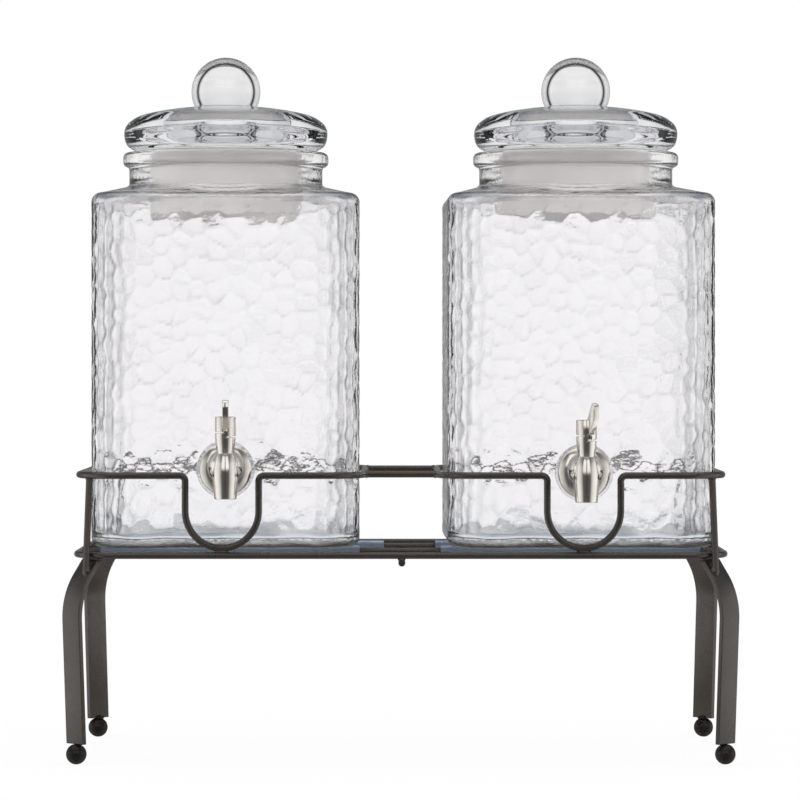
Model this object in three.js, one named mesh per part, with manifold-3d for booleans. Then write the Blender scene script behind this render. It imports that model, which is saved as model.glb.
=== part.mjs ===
// Twin glass beverage dispenser on a welded wire stand
// Lengths are millimetres and +Z is up. The taps face -Y and the ball feet stand on Z = 0.
import * as THREE from "three";
import { mergeVertices } from "three/addons/utils/BufferGeometryUtils.js";
import Module from "manifold-3d";

const wasm = await Module();
wasm.setup();
const degrees = THREE.MathUtils.degToRad;

// Fits that every piece shares
const seat = 0.3; // gap left between two pieces that touch
const overrun = 2; // how far a cutter passes beyond what it cuts

// Stand: wires
const wireDiameter = 4.2;
const ringHeight = 126; // centre of the base ring's wire above the floor
const loopHeight = 174.3; // centre of the jar loops' wire above the floor
const ringCorner = 25;
const ringOverhang = 1.2; // base ring beyond the loops at each end
const loopClearance = 2.5; // jar face to loop wire
const guardRadius = 22.2; // centre line of the U round each tap
const guardElbow = 3.4;
const guardShift = 1.3; // the U is bent a little to the right of the loop's middle
const linkBarSpacing = 116; // between the two bars that join the loops
const rodSpacing = 66; // between the two rods under the jars
const braceOffset = 0.6; // cross brace to the right of the middle
const sleeveDiameter = 7;
const sleeveLength = 160;

// How far out each sleeve has slid on its half of the rod, as a share of its play
const sleeveSlideShares = { front_left: 0.73, front_right: 0.71, rear_left: 0.31, rear_right: 0.63 };

// Stand: legs and feet
const legWidth = 15.5;
const legThickness = 3;
const legInset = 2; // top of the leg inside the ring's corner
const legStandIn = 1.7; // along the stand, from the ring's corner in to the leg's middle
const legShoulder = 12.8; // straight stretch above the bend
const legBend = 40;
const legSlope = degrees(38); // shoulder from the vertical
const legLean = degrees(2.5); // lower leg from the vertical, inwards
const ballDiameter = 12.5;
const ballFlat = 2.6; // worn flat that the ball stands on
const postSeatDrop = 11; // ring centre down to the end of the post on the leg

// Jars
const jarSpacing = 218.8; // between the two jar centres
const jarWidth = 164;
const jarCorner = 27;
const jarWall = 4.5;
const jarFloor = 10;
const jarHeel = 6;
const jarInnerHeel = 1.8; // where the wall meets the floor inside
const jarBodyHeight = 216.7;
const shoulderRound = 6;
const shoulderRise = 5.7; // edge of the shoulder up to the neck
const neckDiameter = 120.6;
const neckWall = 5.8;
const neckHeight = 12.1;
const flangeDiameter = 128.2;
const flangeHeight = 9.1;
const flangeRound = 3.2;

// Lids and their sleeves
const lidDiameter = 127;
const lidRimDrop = 10.4; // widest line down to the underside
const lidRimRound = 8.5;
const lidDomeRise = 18.3; // widest line up to the crown
const lidGlass = 7.5;
const plugDiameter = 89.6;
const plugWall = 5;
const plugDepth = 20;
const knobDiameter = 43;
const knobCentre = 26.3; // above the widest line
const sleeveFlangeDiameter = 114;
const sleeveFlange = 0.9; // thickness between the jar and the lid
const lidSleeveDiameter = 94.4;
const lidSleeveWall = 2;
const lidSleeveDepth = 38.2; // below the top of the jar

// Taps
const tapHeights = [48.2, 46.2]; // shank axes above the bases of the left and right jar
const tapRise = 2; // barrel and spout above the shank axis
const tapReach = 24; // jar face to the vertical axis of the tap
const shankDiameter = 15.6;
const shankLength = 20; // inside the jar's outer face
const inletBore = 8;
const outerWasherDiameter = 35.2;
const outerWasher = 1.5;
const escutcheonDiameter = 31.8;
const escutcheonDepth = 4;
const escutcheonRim = 1.2;
const innerWasherDiameter = 25;
const innerWasher = 2;
const nutAcrossFlats = 24;
const nutHeight = 6;
const collarDiameter = 17.4;
const barrelDiameter = 21.8;
const barrelLand = 6; // length of its widest stretch
const barrelShoulder = 4.5; // collar out to the widest stretch
const barrelNose = 13;
const spoutDiameter = 15.8;
const spoutMouth = 13.4;
const spoutDrop = 17.2; // shank axis down to the mouth
const bonnetFoot = 10.6;
const bonnetDiameter = 12.4;
const bonnetHeight = 19.8; // shank axis up to the low half of the rim
const stopHeight = 2.7; // step of the rim that stops the cap
const stopAngle = degrees(135); // sweep of the high half, and of the cap's skirt
const stopSlack = degrees(1.5);
const capSlit = 0.8;
const capHeight = 9;
const capEdge = 0.5;
const leverThickness = 3.9;
const leverReach = 11.5;
const leverRise = 10.2; // tip above the cap
const leverTip = 2.4;
const leverRoot = 4.3; // floor of the slot from the axis
const plugBarrelDiameter = 9.8;
const plugBarrelTop = 7.7;
const plugBarrelDrop = 9;
const portBore = 6;
const stemDiameter = 6;
const stemTop = 30; // above the shank axis
const pinDiameter = 1.6;
const oRingSection = 1.1;
const oRingHeight = 14; // above the shank axis
const handleTurns = [degrees(0), degrees(28)]; // left and right lever as they stand
const jarTurns = [degrees(2.3), degrees(1)]; // left and right jar as they stand in their loops

// Sizes that follow from those above
const wireRadius = wireDiameter / 2;
const jarHalf = jarWidth / 2;
const jarCentre = jarSpacing / 2;
const loopHalf = jarHalf + loopClearance + wireRadius;
const ringHalfX = jarCentre + loopHalf + ringOverhang;
const jarBase = ringHeight + sleeveDiameter / 2 + seat;
const neckBase = jarBodyHeight + shoulderRise;
const flangeBase = neckBase + neckHeight;
const jarTop = flangeBase + flangeHeight;
const neckRadius = neckDiameter / 2;
const boreRadius = neckRadius - neckWall;
const cornerShare = 1 - Math.SQRT1_2; // how far a round corner's middle stands in from its sides
const ringMiddle = [ringHalfX - ringCorner * cornerShare, loopHalf - ringCorner * cornerShare];
const loopMiddle = [jarCentre + loopHalf - ringCorner * cornerShare, ringMiddle[1]];
const lidBottom = jarTop + seat + sleeveFlange + seat;
const lidWidest = lidBottom + lidRimDrop;
const capBase = bonnetHeight + stopHeight + capSlit;
const capTop = capBase + capHeight;
const stemRadius = stemDiameter / 2;
const capRadius = bonnetDiameter / 2;

// Corners of the stand: name, side along X, side along Y
const cornerSides = [
  ["front_left", -1, -1],
  ["front_right", 1, -1],
  ["rear_left", -1, 1],
  ["rear_right", 1, 1],
];

// Finishes
const finish = (color, roughness, metalness, opacity = 1) =>
  new THREE.MeshStandardMaterial({ color, roughness, metalness, opacity, transparent: opacity < 1 });
const paintedSteel = finish(0x2a2623, 0.45, 0.6);
const clearGlass = finish(0xdde6e8, 0.05, 0, 0.35);
const softPlastic = finish(0xd9d6d0, 0.5, 0, 0.8);
const clearVinyl = finish(0x8fa0b4, 0.3, 0, 0.6);
const polishedSteel = finish(0xbdb7ad, 0.2, 1);
const siliconeRubber = finish(0xc9ced2, 0.6, 0);

// Solid of a closed geometry, for joining and cutting
function solidOf(geometry) {
  const bare = geometry.clone();
  bare.deleteAttribute("normal");
  bare.deleteAttribute("uv");
  const merged = mergeVertices(bare);
  return new wasm.Manifold(
    new wasm.Mesh({
      numProp: 3,
      vertProperties: new Float32Array(merged.attributes.position.array),
      triVerts: new Uint32Array(merged.index.array),
    }),
  );
}

function geometryOf(solid) {
  const made = solid.getMesh();
  const geometry = new THREE.BufferGeometry();
  geometry.setAttribute("position", new THREE.BufferAttribute(made.vertProperties, 3));
  geometry.setIndex(new THREE.BufferAttribute(made.triVerts, 1));
  geometry.computeVertexNormals();
  return geometry;
}

// One geometry: the first list joined, then the second list cut away
function shaped(joined, cutters = []) {
  let solid = solidOf(joined[0]);
  for (const more of joined.slice(1)) solid = solid.add(solidOf(more));
  for (const cutter of cutters) solid = solid.subtract(solidOf(cutter));
  return geometryOf(solid);
}

function meshOf(name, geometry, material) {
  const mesh = new THREE.Mesh(geometry, material);
  mesh.name = name;
  return mesh;
}

// Points along an arc or an ellipse, as [across, along] pairs
function arcPoints(centre, radii, from, to, steps) {
  return Array.from({ length: steps + 1 }, (_, i) => {
    const angle = from + ((to - from) * i) / steps;
    return [centre[0] + radii[0] * Math.cos(angle), centre[1] + radii[1] * Math.sin(angle)];
  });
}

// Solid of revolution about +Z, from [radius, height] pairs listed upwards on the outside
function turned(profile, sides) {
  const points = profile.map(([radius, height]) => new THREE.Vector2(Math.max(radius, 0), height));
  return new THREE.LatheGeometry(points, sides).rotateX(Math.PI / 2);
}

// Round bar from one point to another
function roundBar(from, to, radius, sides = 8) {
  const start = new THREE.Vector3(...from);
  const run = new THREE.Vector3(...to).sub(start);
  const geometry = new THREE.CylinderGeometry(radius, radius, run.length(), sides);
  const turn = new THREE.Quaternion().setFromUnitVectors(THREE.Object3D.DEFAULT_UP, run.clone().normalize());
  geometry.applyQuaternion(turn);
  return geometry.translate(...start.addScaledVector(run, 1 / 2).toArray());
}

// Round tube from one point to another along X, with its bore
function roundTube(length, outerRadius, innerRadius, sides = 8) {
  const section = new THREE.Shape().absarc(0, 0, outerRadius, 0, Math.PI * 2);
  section.holes.push(new THREE.Path().absarc(0, 0, innerRadius, 0, Math.PI * 2, true));
  const tube = new THREE.ExtrudeGeometry(section, {
    depth: length,
    bevelEnabled: false,
    curveSegments: sides,
  });
  return tube.translate(0, 0, -length / 2).rotateY(Math.PI / 2);
}

// Rings of equal count stitched into one skin, shut by a pole at each end or back on itself
function skinned(rings, closed) {
  const count = rings[0].length;
  const points = rings.flat();
  const faces = [];
  const spans = closed ? rings.length : rings.length - 1;
  for (let i = 0; i < spans; i += 1) {
    const low = i * count;
    const high = ((i + 1) % rings.length) * count;
    for (let j = 0; j < count; j += 1) {
      const k = (j + 1) % count;
      faces.push(low + j, low + k, high + k, low + j, high + k, high + j);
    }
  }
  if (!closed) {
    const first = points.length;
    points.push(middleOf(rings[0]), middleOf(rings[rings.length - 1]));
    const last = (rings.length - 1) * count;
    for (let j = 0; j < count; j += 1) {
      const k = (j + 1) % count;
      faces.push(first, k, j, first + 1, last + j, last + k);
    }
  }
  const geometry = new THREE.BufferGeometry().setFromPoints(points);
  geometry.setIndex(faces);
  geometry.computeVertexNormals();
  return geometry;
}

function middleOf(ring) {
  const middle = new THREE.Vector3();
  for (const point of ring) middle.addScaledVector(point, 1 / ring.length);
  return middle;
}

// Wire bent round a closed path: its section is carried from point to point without twist
function closedWire(path, radius, sides = 8) {
  const count = path.length;
  const along = path.map((_, i) =>
    path[(i + 1) % count].clone().sub(path[(i + count - 1) % count]).normalize(),
  );
  const up = new THREE.Vector3(0, 0, 1);
  const rings = path.map((point, i) => {
    if (i > 0) {
      up.applyQuaternion(new THREE.Quaternion().setFromUnitVectors(along[i - 1], along[i]));
    }
    const side = new THREE.Vector3().crossVectors(up, along[i]).normalize();
    return Array.from({ length: sides }, (_, j) => {
      const angle = (j * 2 * Math.PI) / sides;
      const spoke = side.clone().multiplyScalar(Math.cos(angle)).addScaledVector(up, Math.sin(angle));
      return point.clone().addScaledVector(spoke, -radius);
    });
  });
  return skinned(rings, true);
}

// Round corner of a wire path in a level plane
function levelCorner(centreX, centreY, height, from, steps = 5) {
  return arcPoints([centreX, centreY], [ringCorner, ringCorner], from, from + Math.PI / 2, steps).map(
    ([x, y]) => new THREE.Vector3(x, y, height),
  );
}

// Base ring: one rounded rectangle of wire
function baseRing() {
  const x = ringHalfX - ringCorner;
  const y = loopHalf - ringCorner;
  const path = [
    ...levelCorner(x, y, ringHeight, 0),
    ...levelCorner(-x, y, ringHeight, Math.PI / 2),
    ...levelCorner(-x, -y, ringHeight, Math.PI),
    ...levelCorner(x, -y, ringHeight, -Math.PI / 2),
  ];
  return closedWire(path, wireRadius);
}

// Jar loop: a rounded square whose front wire dips in a U round the tap, down to the base ring
function jarLoop() {
  const side = loopHalf - ringCorner;
  const dipCentre = ringHeight + wireDiameter + seat + guardRadius;
  const elbowX = guardRadius + guardElbow;
  const elbowZ = loopHeight - guardElbow;
  const inFront = ([x, z]) => new THREE.Vector3(x + guardShift, -loopHalf, z);
  const elbow = [guardElbow, guardElbow];
  const path = [
    ...levelCorner(side, side, loopHeight, 0),
    ...levelCorner(-side, side, loopHeight, Math.PI / 2),
    ...levelCorner(-side, -side, loopHeight, Math.PI),
    ...arcPoints([-elbowX, elbowZ], elbow, Math.PI / 2, 0, 4).map(inFront),
    ...arcPoints([0, dipCentre], [guardRadius, guardRadius], Math.PI, Math.PI * 2, 12).map(inFront),
    ...arcPoints([elbowX, elbowZ], elbow, Math.PI, Math.PI / 2, 4).map(inFront),
    ...levelCorner(side, -side, loopHeight, -Math.PI / 2),
  ];
  return closedWire(path, wireRadius);
}

// Leg bar seen from its edge, outwards to the right: shoulder, bend, and a lower leg that leans back in
function legOutline(outside, inside) {
  const top = ringHeight - wireRadius - seat;
  const foot = ballDiameter - seat;
  const bendX = legShoulder * Math.sin(legSlope) - legBend * Math.cos(legSlope);
  const bendZ = top - legShoulder * Math.cos(legSlope) - legBend * Math.sin(legSlope);
  const outer = legBend + outside;
  const inner = legBend - inside;
  const topX = (radius) =>
    bendX + radius * Math.cos(legSlope) -
    (top - bendZ - radius * Math.sin(legSlope)) * Math.tan(legSlope);
  const footX = (radius) =>
    bendX + radius * Math.cos(legLean) -
    (bendZ - radius * Math.sin(legLean) - foot) * Math.tan(legLean);
  const outline = new THREE.Shape();
  outline.absarc(bendX, bendZ, outer, legSlope, -legLean, true);
  outline.lineTo(footX(outer), foot);
  outline.lineTo(footX(inner), foot);
  outline.absarc(bendX, bendZ, inner, -legLean, legSlope, false);
  outline.lineTo(topX(inner), top);
  outline.lineTo(topX(outer), top);
  outline.closePath();
  return { outline, footMiddle: (footX(outer) + footX(inner)) / 2 };
}

function legBar(outside, inside, width) {
  const bar = new THREE.ExtrudeGeometry(legOutline(outside, inside).outline, {
    depth: width,
    bevelEnabled: false,
    curveSegments: 6,
  });
  return bar.rotateX(Math.PI / 2).translate(-legInset, width / 2, 0);
}

// Ball foot with its worn flat, and a flat on top where the leg is welded
function ballFoot() {
  const radius = ballDiameter / 2;
  const flat = Math.asin(ballFlat / 2 / radius);
  const centre = radius * Math.cos(flat);
  const reach = Math.asin((ballDiameter - seat - seat - centre) / radius);
  const arc = arcPoints([0, centre], [radius, radius], flat - Math.PI / 2, reach, 6);
  return turned([[0, 0], ...arc, [0, arc[arc.length - 1][1]]], 12);
}

// Post: from under the loop's corner, past the front or the back of the ring, to the leg's outer face
function cornerPost(hand) {
  const pass = wireDiameter + seat;
  const past = Math.sqrt(ringCorner ** 2 / 2 + pass * (2 * ringCorner + pass)) - ringCorner * Math.SQRT1_2;
  const top = [0, loopHeight - wireRadius - seat];
  const lean = past / (top[1] - ringHeight);
  const bottom = [past + lean * postSeatDrop, ringHeight - postSeatDrop];
  const topIn = ringMiddle[0] - loopMiddle[0];
  const [topEnd, lowEnd] = [top, bottom].map(([out, height]) => {
    const along = height > ringHeight ? -topIn : 0;
    return [(out + along) * Math.SQRT1_2, (out - along) * Math.SQRT1_2 * hand, height];
  });
  const legCutter = legBar(legThickness / 2 + seat, legThickness / 2 + ballDiameter, legWidth * 2);
  legCutter.translate(-legStandIn * Math.SQRT1_2, 0, 0);
  return shaped([roundBar(topEnd, lowEnd, wireRadius)], [legCutter]);
}

function stand() {
  const group = new THREE.Group();
  const add = (name, geometry, material = paintedSteel) => {
    const mesh = meshOf(name, geometry, material);
    group.add(mesh);
    return mesh;
  };
  add("base_ring", baseRing());
  for (const [name, x] of [["left", -jarCentre], ["right", jarCentre]]) {
    add(name + "_jar_loop", jarLoop()).position.x = x;
  }

  const linkReach = jarCentre - loopHalf - wireRadius - seat;
  for (const [name, side] of [["front", -1], ["rear", 1]]) {
    const linkY = (side * linkBarSpacing) / 2;
    add(name + "_link_bar", roundBar([-linkReach, linkY, loopHeight], [linkReach, linkY, loopHeight], wireRadius));
    const rodReach = ringHalfX - wireRadius - seat;
    const rodY = (side * rodSpacing) / 2;
    add(name + "_support_rod", roundBar([-rodReach, rodY, ringHeight], [rodReach, rodY, ringHeight], wireRadius));
  }

  const sleevePlay = ringHalfX - wireRadius - seat - sleeveLength;
  for (const [name, sideX, sideY] of cornerSides) {
    const tube = roundTube(sleeveLength, sleeveDiameter / 2, wireRadius + seat);
    const x = sideX * (sleeveLength / 2 + sleevePlay * sleeveSlideShares[name]);
    add(name + "_rod_sleeve", tube, clearVinyl).position.set(x, (sideY * rodSpacing) / 2, ringHeight);
  }

  const braceHeight = ringHeight - wireDiameter - seat;
  const braceReach = loopHalf + wireRadius;
  const braceEnds = [-braceReach, braceReach].map((y) => [braceOffset, y, braceHeight]);
  add("cross_brace", roundBar(...braceEnds, wireRadius));

  const footOut = legOutline(legThickness / 2, legThickness / 2).footMiddle - legInset;
  for (const [name, sideX, sideY] of cornerSides) {
    const atCorner = (piece, geometry, standIn) => {
      const mesh = add(name + piece, geometry);
      mesh.position.set(sideX * (ringMiddle[0] - standIn), sideY * ringMiddle[1], 0);
      mesh.rotation.z = Math.atan2(sideY, sideX);
    };
    atCorner("_leg", legBar(legThickness / 2, legThickness / 2, legWidth), legStandIn);
    atCorner("_post", cornerPost(sideX * sideY), 0);
    atCorner("_ball_foot", ballFoot().translate(footOut, 0, 0), legStandIn);
  }
  return group;
}

// Directions of the points round a jar: even steps along its flats and round its corners
function jarDirections() {
  const flatEnd = Math.atan2(jarHalf - jarCorner, jarHalf);
  const flatSteps = 3;
  const cornerSteps = 5;
  const directions = [];
  for (let side = 0; side < 4; side += 1) {
    const facing = (side * Math.PI) / 2;
    for (let i = 0; i < flatSteps; i += 1) {
      directions.push(facing - flatEnd + (2 * flatEnd * i) / flatSteps);
    }
    for (let i = 0; i < cornerSteps; i += 1) {
      directions.push(facing + flatEnd + ((Math.PI / 2 - 2 * flatEnd) * i) / cornerSteps);
    }
  }
  return directions;
}

// Level ring of a jar: a square of the given half width with round corners, or a circle when they are equal
function jarRing(half, corner, height) {
  const inset = half - corner;
  return jarDirections().map((direction) => {
    const across = Math.max(Math.abs(Math.cos(direction)), Math.abs(Math.sin(direction)));
    const beside = Math.min(Math.abs(Math.cos(direction)), Math.abs(Math.sin(direction)));
    const onFlat = (half * beside) / across <= inset;
    const reach = onFlat
      ? half / across
      : inset * (across + beside) + Math.sqrt(corner ** 2 - (inset * (across - beside)) ** 2);
    return new THREE.Vector3(reach * Math.cos(direction), reach * Math.sin(direction), height);
  });
}

// Rounded edge of a jar ring: its corner shrinks with its half width
function jarEdge(half, corner, centreHeight, round, from, to, steps) {
  return arcPoints([half - round, centreHeight], [round, round], from, to, steps).map(([across, height]) =>
    jarRing(across, corner - (half - across), height),
  );
}

// Jar: a square body that turns into a round neck, hollow and open at the top, bored for the tap
function jar(tapHeight) {
  const quarter = Math.PI / 2;
  const innerHalf = jarHalf - jarWall;
  const innerCorner = jarCorner - jarWall;
  const shoulderFall = Math.atan2(shoulderRise, jarHalf - neckRadius);
  const shoulderTurn = quarter - shoulderFall;
  const innerShoulder = jarBodyHeight - jarWall - shoulderRound;
  const flangeRadius = flangeDiameter / 2;
  const round = (radius, height) => jarRing(radius, radius, height);
  const blend = (share, fall) => {
    const half = THREE.MathUtils.lerp(jarHalf - shoulderRound, neckRadius, share);
    const corner = THREE.MathUtils.lerp(jarCorner - shoulderRound, neckRadius, share);
    return jarRing(half, Math.min(corner, half), neckBase - (neckBase - jarBodyHeight) * (1 - share) - fall);
  };
  const rings = [
    ...jarEdge(jarHalf, jarCorner, jarHeel, jarHeel, -quarter, 0, 3),
    ...jarEdge(jarHalf, jarCorner, jarBodyHeight - shoulderRound, shoulderRound, 0, shoulderTurn, 3),
    blend(1 / 3, 0),
    blend(2 / 3, 0),
    round(neckRadius, neckBase),
    round(neckRadius, flangeBase),
    ...arcPoints([flangeRadius - flangeRound, flangeBase + flangeRound], [flangeRound, flangeRound], -quarter, 0, 2)
      .map((point) => round(...point)),
    ...arcPoints([flangeRadius - flangeRound, jarTop - flangeRound], [flangeRound, flangeRound], 0, quarter, 2)
      .map((point) => round(...point)),
    round(boreRadius + flangeRound / 2, jarTop),
    round(boreRadius, jarTop - flangeRound / 2),
    round(boreRadius, neckBase - jarWall),
    blend(1 / 2, jarWall),
    ...jarEdge(innerHalf, innerCorner, innerShoulder, shoulderRound, shoulderTurn, 0, 2),
    ...jarEdge(innerHalf, innerCorner, jarFloor + jarInnerHeel, jarInnerHeel, 0, -quarter, 2),
  ];
  const holeRadius = shankDiameter / 2 + seat;
  const hole = roundBar(
    [0, -jarHalf - overrun, tapHeight],
    [0, -jarHalf + jarWall + overrun, tapHeight],
    holeRadius,
    20,
  );
  return shaped([skinned(rings, false)], [hole]);
}

// Lid: a low dome with a ball knob, a hollow below, and a plug that the soft sleeve goes over
function lid() {
  const quarter = Math.PI / 2;
  const radius = lidDiameter / 2;
  const knobRadius = knobDiameter / 2;
  const knobHeight = lidWidest + knobCentre;
  const knobFoot = -Math.asin((knobCentre - lidDomeRise * 0.95) / knobRadius);
  const footRadius = knobRadius * Math.cos(knobFoot);
  const domeEnd = Math.acos(footRadius / radius);
  const plugRadius = plugDiameter / 2;
  const hollowRadius = plugRadius - plugWall;
  const profile = [
    ...arcPoints([0, lidBottom], [hollowRadius, lidRimDrop + lidDomeRise - lidGlass], quarter, 0, 3),
    [hollowRadius, lidBottom - plugDepth],
    [plugRadius, lidBottom - plugDepth],
    [plugRadius, lidBottom],
    ...arcPoints([radius - lidRimRound, lidWidest], [lidRimRound, lidRimDrop], -quarter, 0, 3),
    ...arcPoints([0, lidWidest], [radius, lidDomeRise], 0, domeEnd, 5).slice(1),
    ...arcPoints([0, knobHeight], [knobRadius, knobRadius], knobFoot, quarter, 7),
  ];
  return turned(profile, 24);
}

// Lid sleeve: a soft tube over the lid's plug, with a thin flange that the lid sits on
function lidSleeve() {
  const outer = lidSleeveDiameter / 2;
  const inner = outer - lidSleeveWall;
  const bottom = jarTop - lidSleeveDepth;
  const under = jarTop + seat;
  const profile = [
    [inner, bottom],
    [outer, bottom],
    [outer, under],
    [sleeveFlangeDiameter / 2, under],
    [sleeveFlangeDiameter / 2, under + sleeveFlange],
    [inner, under + sleeveFlange],
    [inner, bottom],
  ];
  return turned(profile, 24);
}

// Ring turned about the shank axis, from [radius, distance in front of the jar face] pairs
function onShank(profile, sides) {
  return turned(profile, sides).rotateX(Math.PI / 2);
}

function flatRing(outer, inner, back, front, sides) {
  const profile = [[inner, back], [outer, back], [outer, front], [inner, front], [inner, back]];
  return onShank(profile, sides);
}

// Part of a ring that sweeps round the tap's vertical axis
function ringSector(outer, inner, bottom, height, from, sweep) {
  const sector = new THREE.Shape();
  sector.absarc(0, 0, outer, from, from + sweep, false);
  sector.absarc(0, 0, inner, from + sweep, from, true);
  sector.closePath();
  const made = new THREE.ExtrudeGeometry(sector, { depth: height, bevelEnabled: false, curveSegments: 8 });
  return made.translate(0, 0, bottom);
}

// Tap body: threaded shank, barrel, spout and bonnet, with its bores and the high half of its rim
function tapBody() {
  const front = outerWasher + escutcheonDepth + 3 * seat;
  const barrelRadius = barrelDiameter / 2;
  const noseStart = front + barrelShoulder + barrelLand;
  const nose = arcPoints([0, noseStart], [barrelRadius, barrelNose], 0, Math.PI / 2, 5);
  const shank = roundBar([0, shankLength, 0], [0, -noseStart, 0], shankDiameter / 2, 20);
  const barrel = onShank(
    [[0, front], [collarDiameter / 2, front], [barrelRadius, front + barrelShoulder], ...nose],
    20,
  ).translate(0, 0, tapRise);
  const spoutRadius = spoutDiameter / 2;
  const upright = turned(
    [
      [0, -spoutDrop],
      [spoutMouth / 2, -spoutDrop],
      [spoutRadius, 0],
      ...arcPoints([0, 0], [spoutRadius, spoutRadius], 0, Math.acos(bonnetFoot / spoutDiameter), 3).slice(1),
      [bonnetFoot / 2, barrelRadius - seat],
      [capRadius, bonnetHeight],
      [0, bonnetHeight],
    ],
    20,
  ).translate(0, -tapReach, 0);
  const rim = ringSector(
    capRadius,
    stemRadius + seat,
    bonnetHeight - overrun,
    stopHeight + overrun,
    stopAngle + stopSlack,
    stopAngle - 2 * stopSlack,
  ).translate(0, -tapReach, 0);
  const chamber = plugBarrelDiameter / 2 + seat;
  const bores = turned(
    [
      [0, -spoutDrop - overrun],
      [chamber, -spoutDrop - overrun],
      [chamber, plugBarrelTop + seat],
      [stemRadius + seat, plugBarrelTop + seat],
      [stemRadius + seat, bonnetHeight + stopHeight + overrun],
      [0, bonnetHeight + stopHeight + overrun],
    ],
    16,
  ).translate(0, -tapReach, 0);
  const inlet = roundBar([0, -tapReach, 0], [0, shankLength + overrun, 0], inletBore / 2, 12);
  return shaped([shank, barrel, upright, rim], [bores, inlet]);
}

// Escutcheon: dished steel disc between the tap body and the outer washer
function escutcheon() {
  const back = outerWasher + 2 * seat;
  const bore = shankDiameter / 2 + seat;
  const profile = [
    [bore, back],
    [escutcheonDiameter / 2, back],
    [escutcheonDiameter / 2, back + escutcheonRim],
    [collarDiameter / 2, back + escutcheonDepth],
    [bore, back + escutcheonDepth],
    [bore, back],
  ];
  return onShank(profile, 24);
}

function shankNut() {
  const nut = new THREE.Shape();
  const reach = nutAcrossFlats / 2 / Math.cos(Math.PI / 6);
  for (let i = 0; i < 6; i += 1) {
    const corner = [reach * Math.cos((i * Math.PI) / 3), reach * Math.sin((i * Math.PI) / 3)];
    if (i === 0) nut.moveTo(...corner);
    else nut.lineTo(...corner);
  }
  nut.closePath();
  nut.holes.push(new THREE.Path().absarc(0, 0, shankDiameter / 2 + seat, 0, Math.PI * 2, true));
  const made = new THREE.ExtrudeGeometry(nut, { depth: nutHeight, bevelEnabled: false, curveSegments: 16 });
  return made.rotateX(Math.PI / 2).translate(0, jarWall + innerWasher + 2 * seat + nutHeight, 0);
}

// Handle: a cap whose skirt runs against the body's stop, and a lever blade that leans out of its slot
function handle() {
  const cap = turned(
    [
      [0, capBase],
      [capRadius, capBase],
      [capRadius, capTop - capEdge],
      [capRadius - capEdge, capTop],
      [0, capTop],
    ],
    20,
  );
  const skirt = ringSector(
    capRadius,
    stemRadius + seat,
    capBase - stopHeight,
    stopHeight + capEdge,
    stopAngle * 2 + stopSlack,
    stopAngle - 2 * stopSlack,
  );
  const slot = new THREE.BoxGeometry(leverThickness, capRadius, capHeight + stopHeight + overrun)
    .translate(0, -leverRoot - capRadius / 2, (capBase - stopHeight + capTop) / 2);
  const bladeTop = capTop + leverRise;
  const blade = new THREE.Shape();
  blade.moveTo(stemRadius - seat, capTop - capEdge);
  blade.lineTo(leverRoot - seat, capTop - capEdge);
  blade.lineTo(leverRoot - seat, capBase);
  blade.lineTo(leverRoot + seat, capBase);
  blade.lineTo(leverReach - seat, capTop);
  blade.lineTo(leverReach, bladeTop - leverTip);
  blade.lineTo(leverReach - leverTip, bladeTop);
  blade.lineTo(leverRoot - seat, capTop);
  blade.closePath();
  const lever = new THREE.ExtrudeGeometry(blade, { depth: leverThickness, bevelEnabled: false })
    .translate(0, 0, -leverThickness / 2)
    .rotateX(Math.PI / 2)
    .rotateZ(-Math.PI / 2);
  const socket = roundBar([0, 0, capBase - stopHeight - overrun], [0, 0, stemTop + seat], stemRadius + seat, 16);
  const pinHole = roundBar(
    [-capRadius - overrun, 0, capBase + capHeight / 2],
    [capRadius + overrun, 0, capBase + capHeight / 2],
    pinDiameter / 2 + seat,
    10,
  );
  const slotted = shaped([cap, skirt], [slot]);
  return shaped([slotted, lever], [socket, pinHole]);
}

// Valve stem: a plug that turns in the tap's chamber, ported from its side to its foot
function valveStem() {
  const grooveHalf = oRingSection / 2 + seat / 2;
  const grooveFloor = stemRadius - oRingSection;
  const stem = turned(
    [
      [0, -plugBarrelDrop],
      [plugBarrelDiameter / 2, -plugBarrelDrop],
      [plugBarrelDiameter / 2, plugBarrelTop],
      [stemRadius, plugBarrelTop],
      [stemRadius, oRingHeight - grooveHalf],
      [grooveFloor, oRingHeight - grooveHalf],
      [grooveFloor, oRingHeight + grooveHalf],
      [stemRadius, oRingHeight + grooveHalf],
      [stemRadius, stemTop],
      [0, stemTop],
    ],
    16,
  );
  const port = portBore / 2;
  const down = roundBar([0, 0, -plugBarrelDrop - overrun], [0, 0, port], port, 10);
  const across = roundBar([0, 0, 0], [plugBarrelDiameter, 0, 0], port * Math.cos(Math.PI / 10), 10);
  const pinHole = roundBar(
    [-stemDiameter, 0, capBase + capHeight / 2],
    [stemDiameter, 0, capBase + capHeight / 2],
    pinDiameter / 2 + seat,
    10,
  );
  return shaped([stem], [down, across, pinHole]);
}

function stemRing() {
  const gap = (stemRadius + seat - (stemRadius - oRingSection) - oRingSection) / 2;
  const middle = stemRadius - oRingSection + gap + oRingSection / 2;
  return new THREE.TorusGeometry(middle, oRingSection / 2, 5, 12).translate(0, 0, oRingHeight);
}

function handlePin() {
  const reach = capRadius - seat;
  const height = capBase + capHeight / 2;
  return roundBar([-reach, 0, height], [reach, 0, height], pinDiameter / 2, 10);
}

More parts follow.
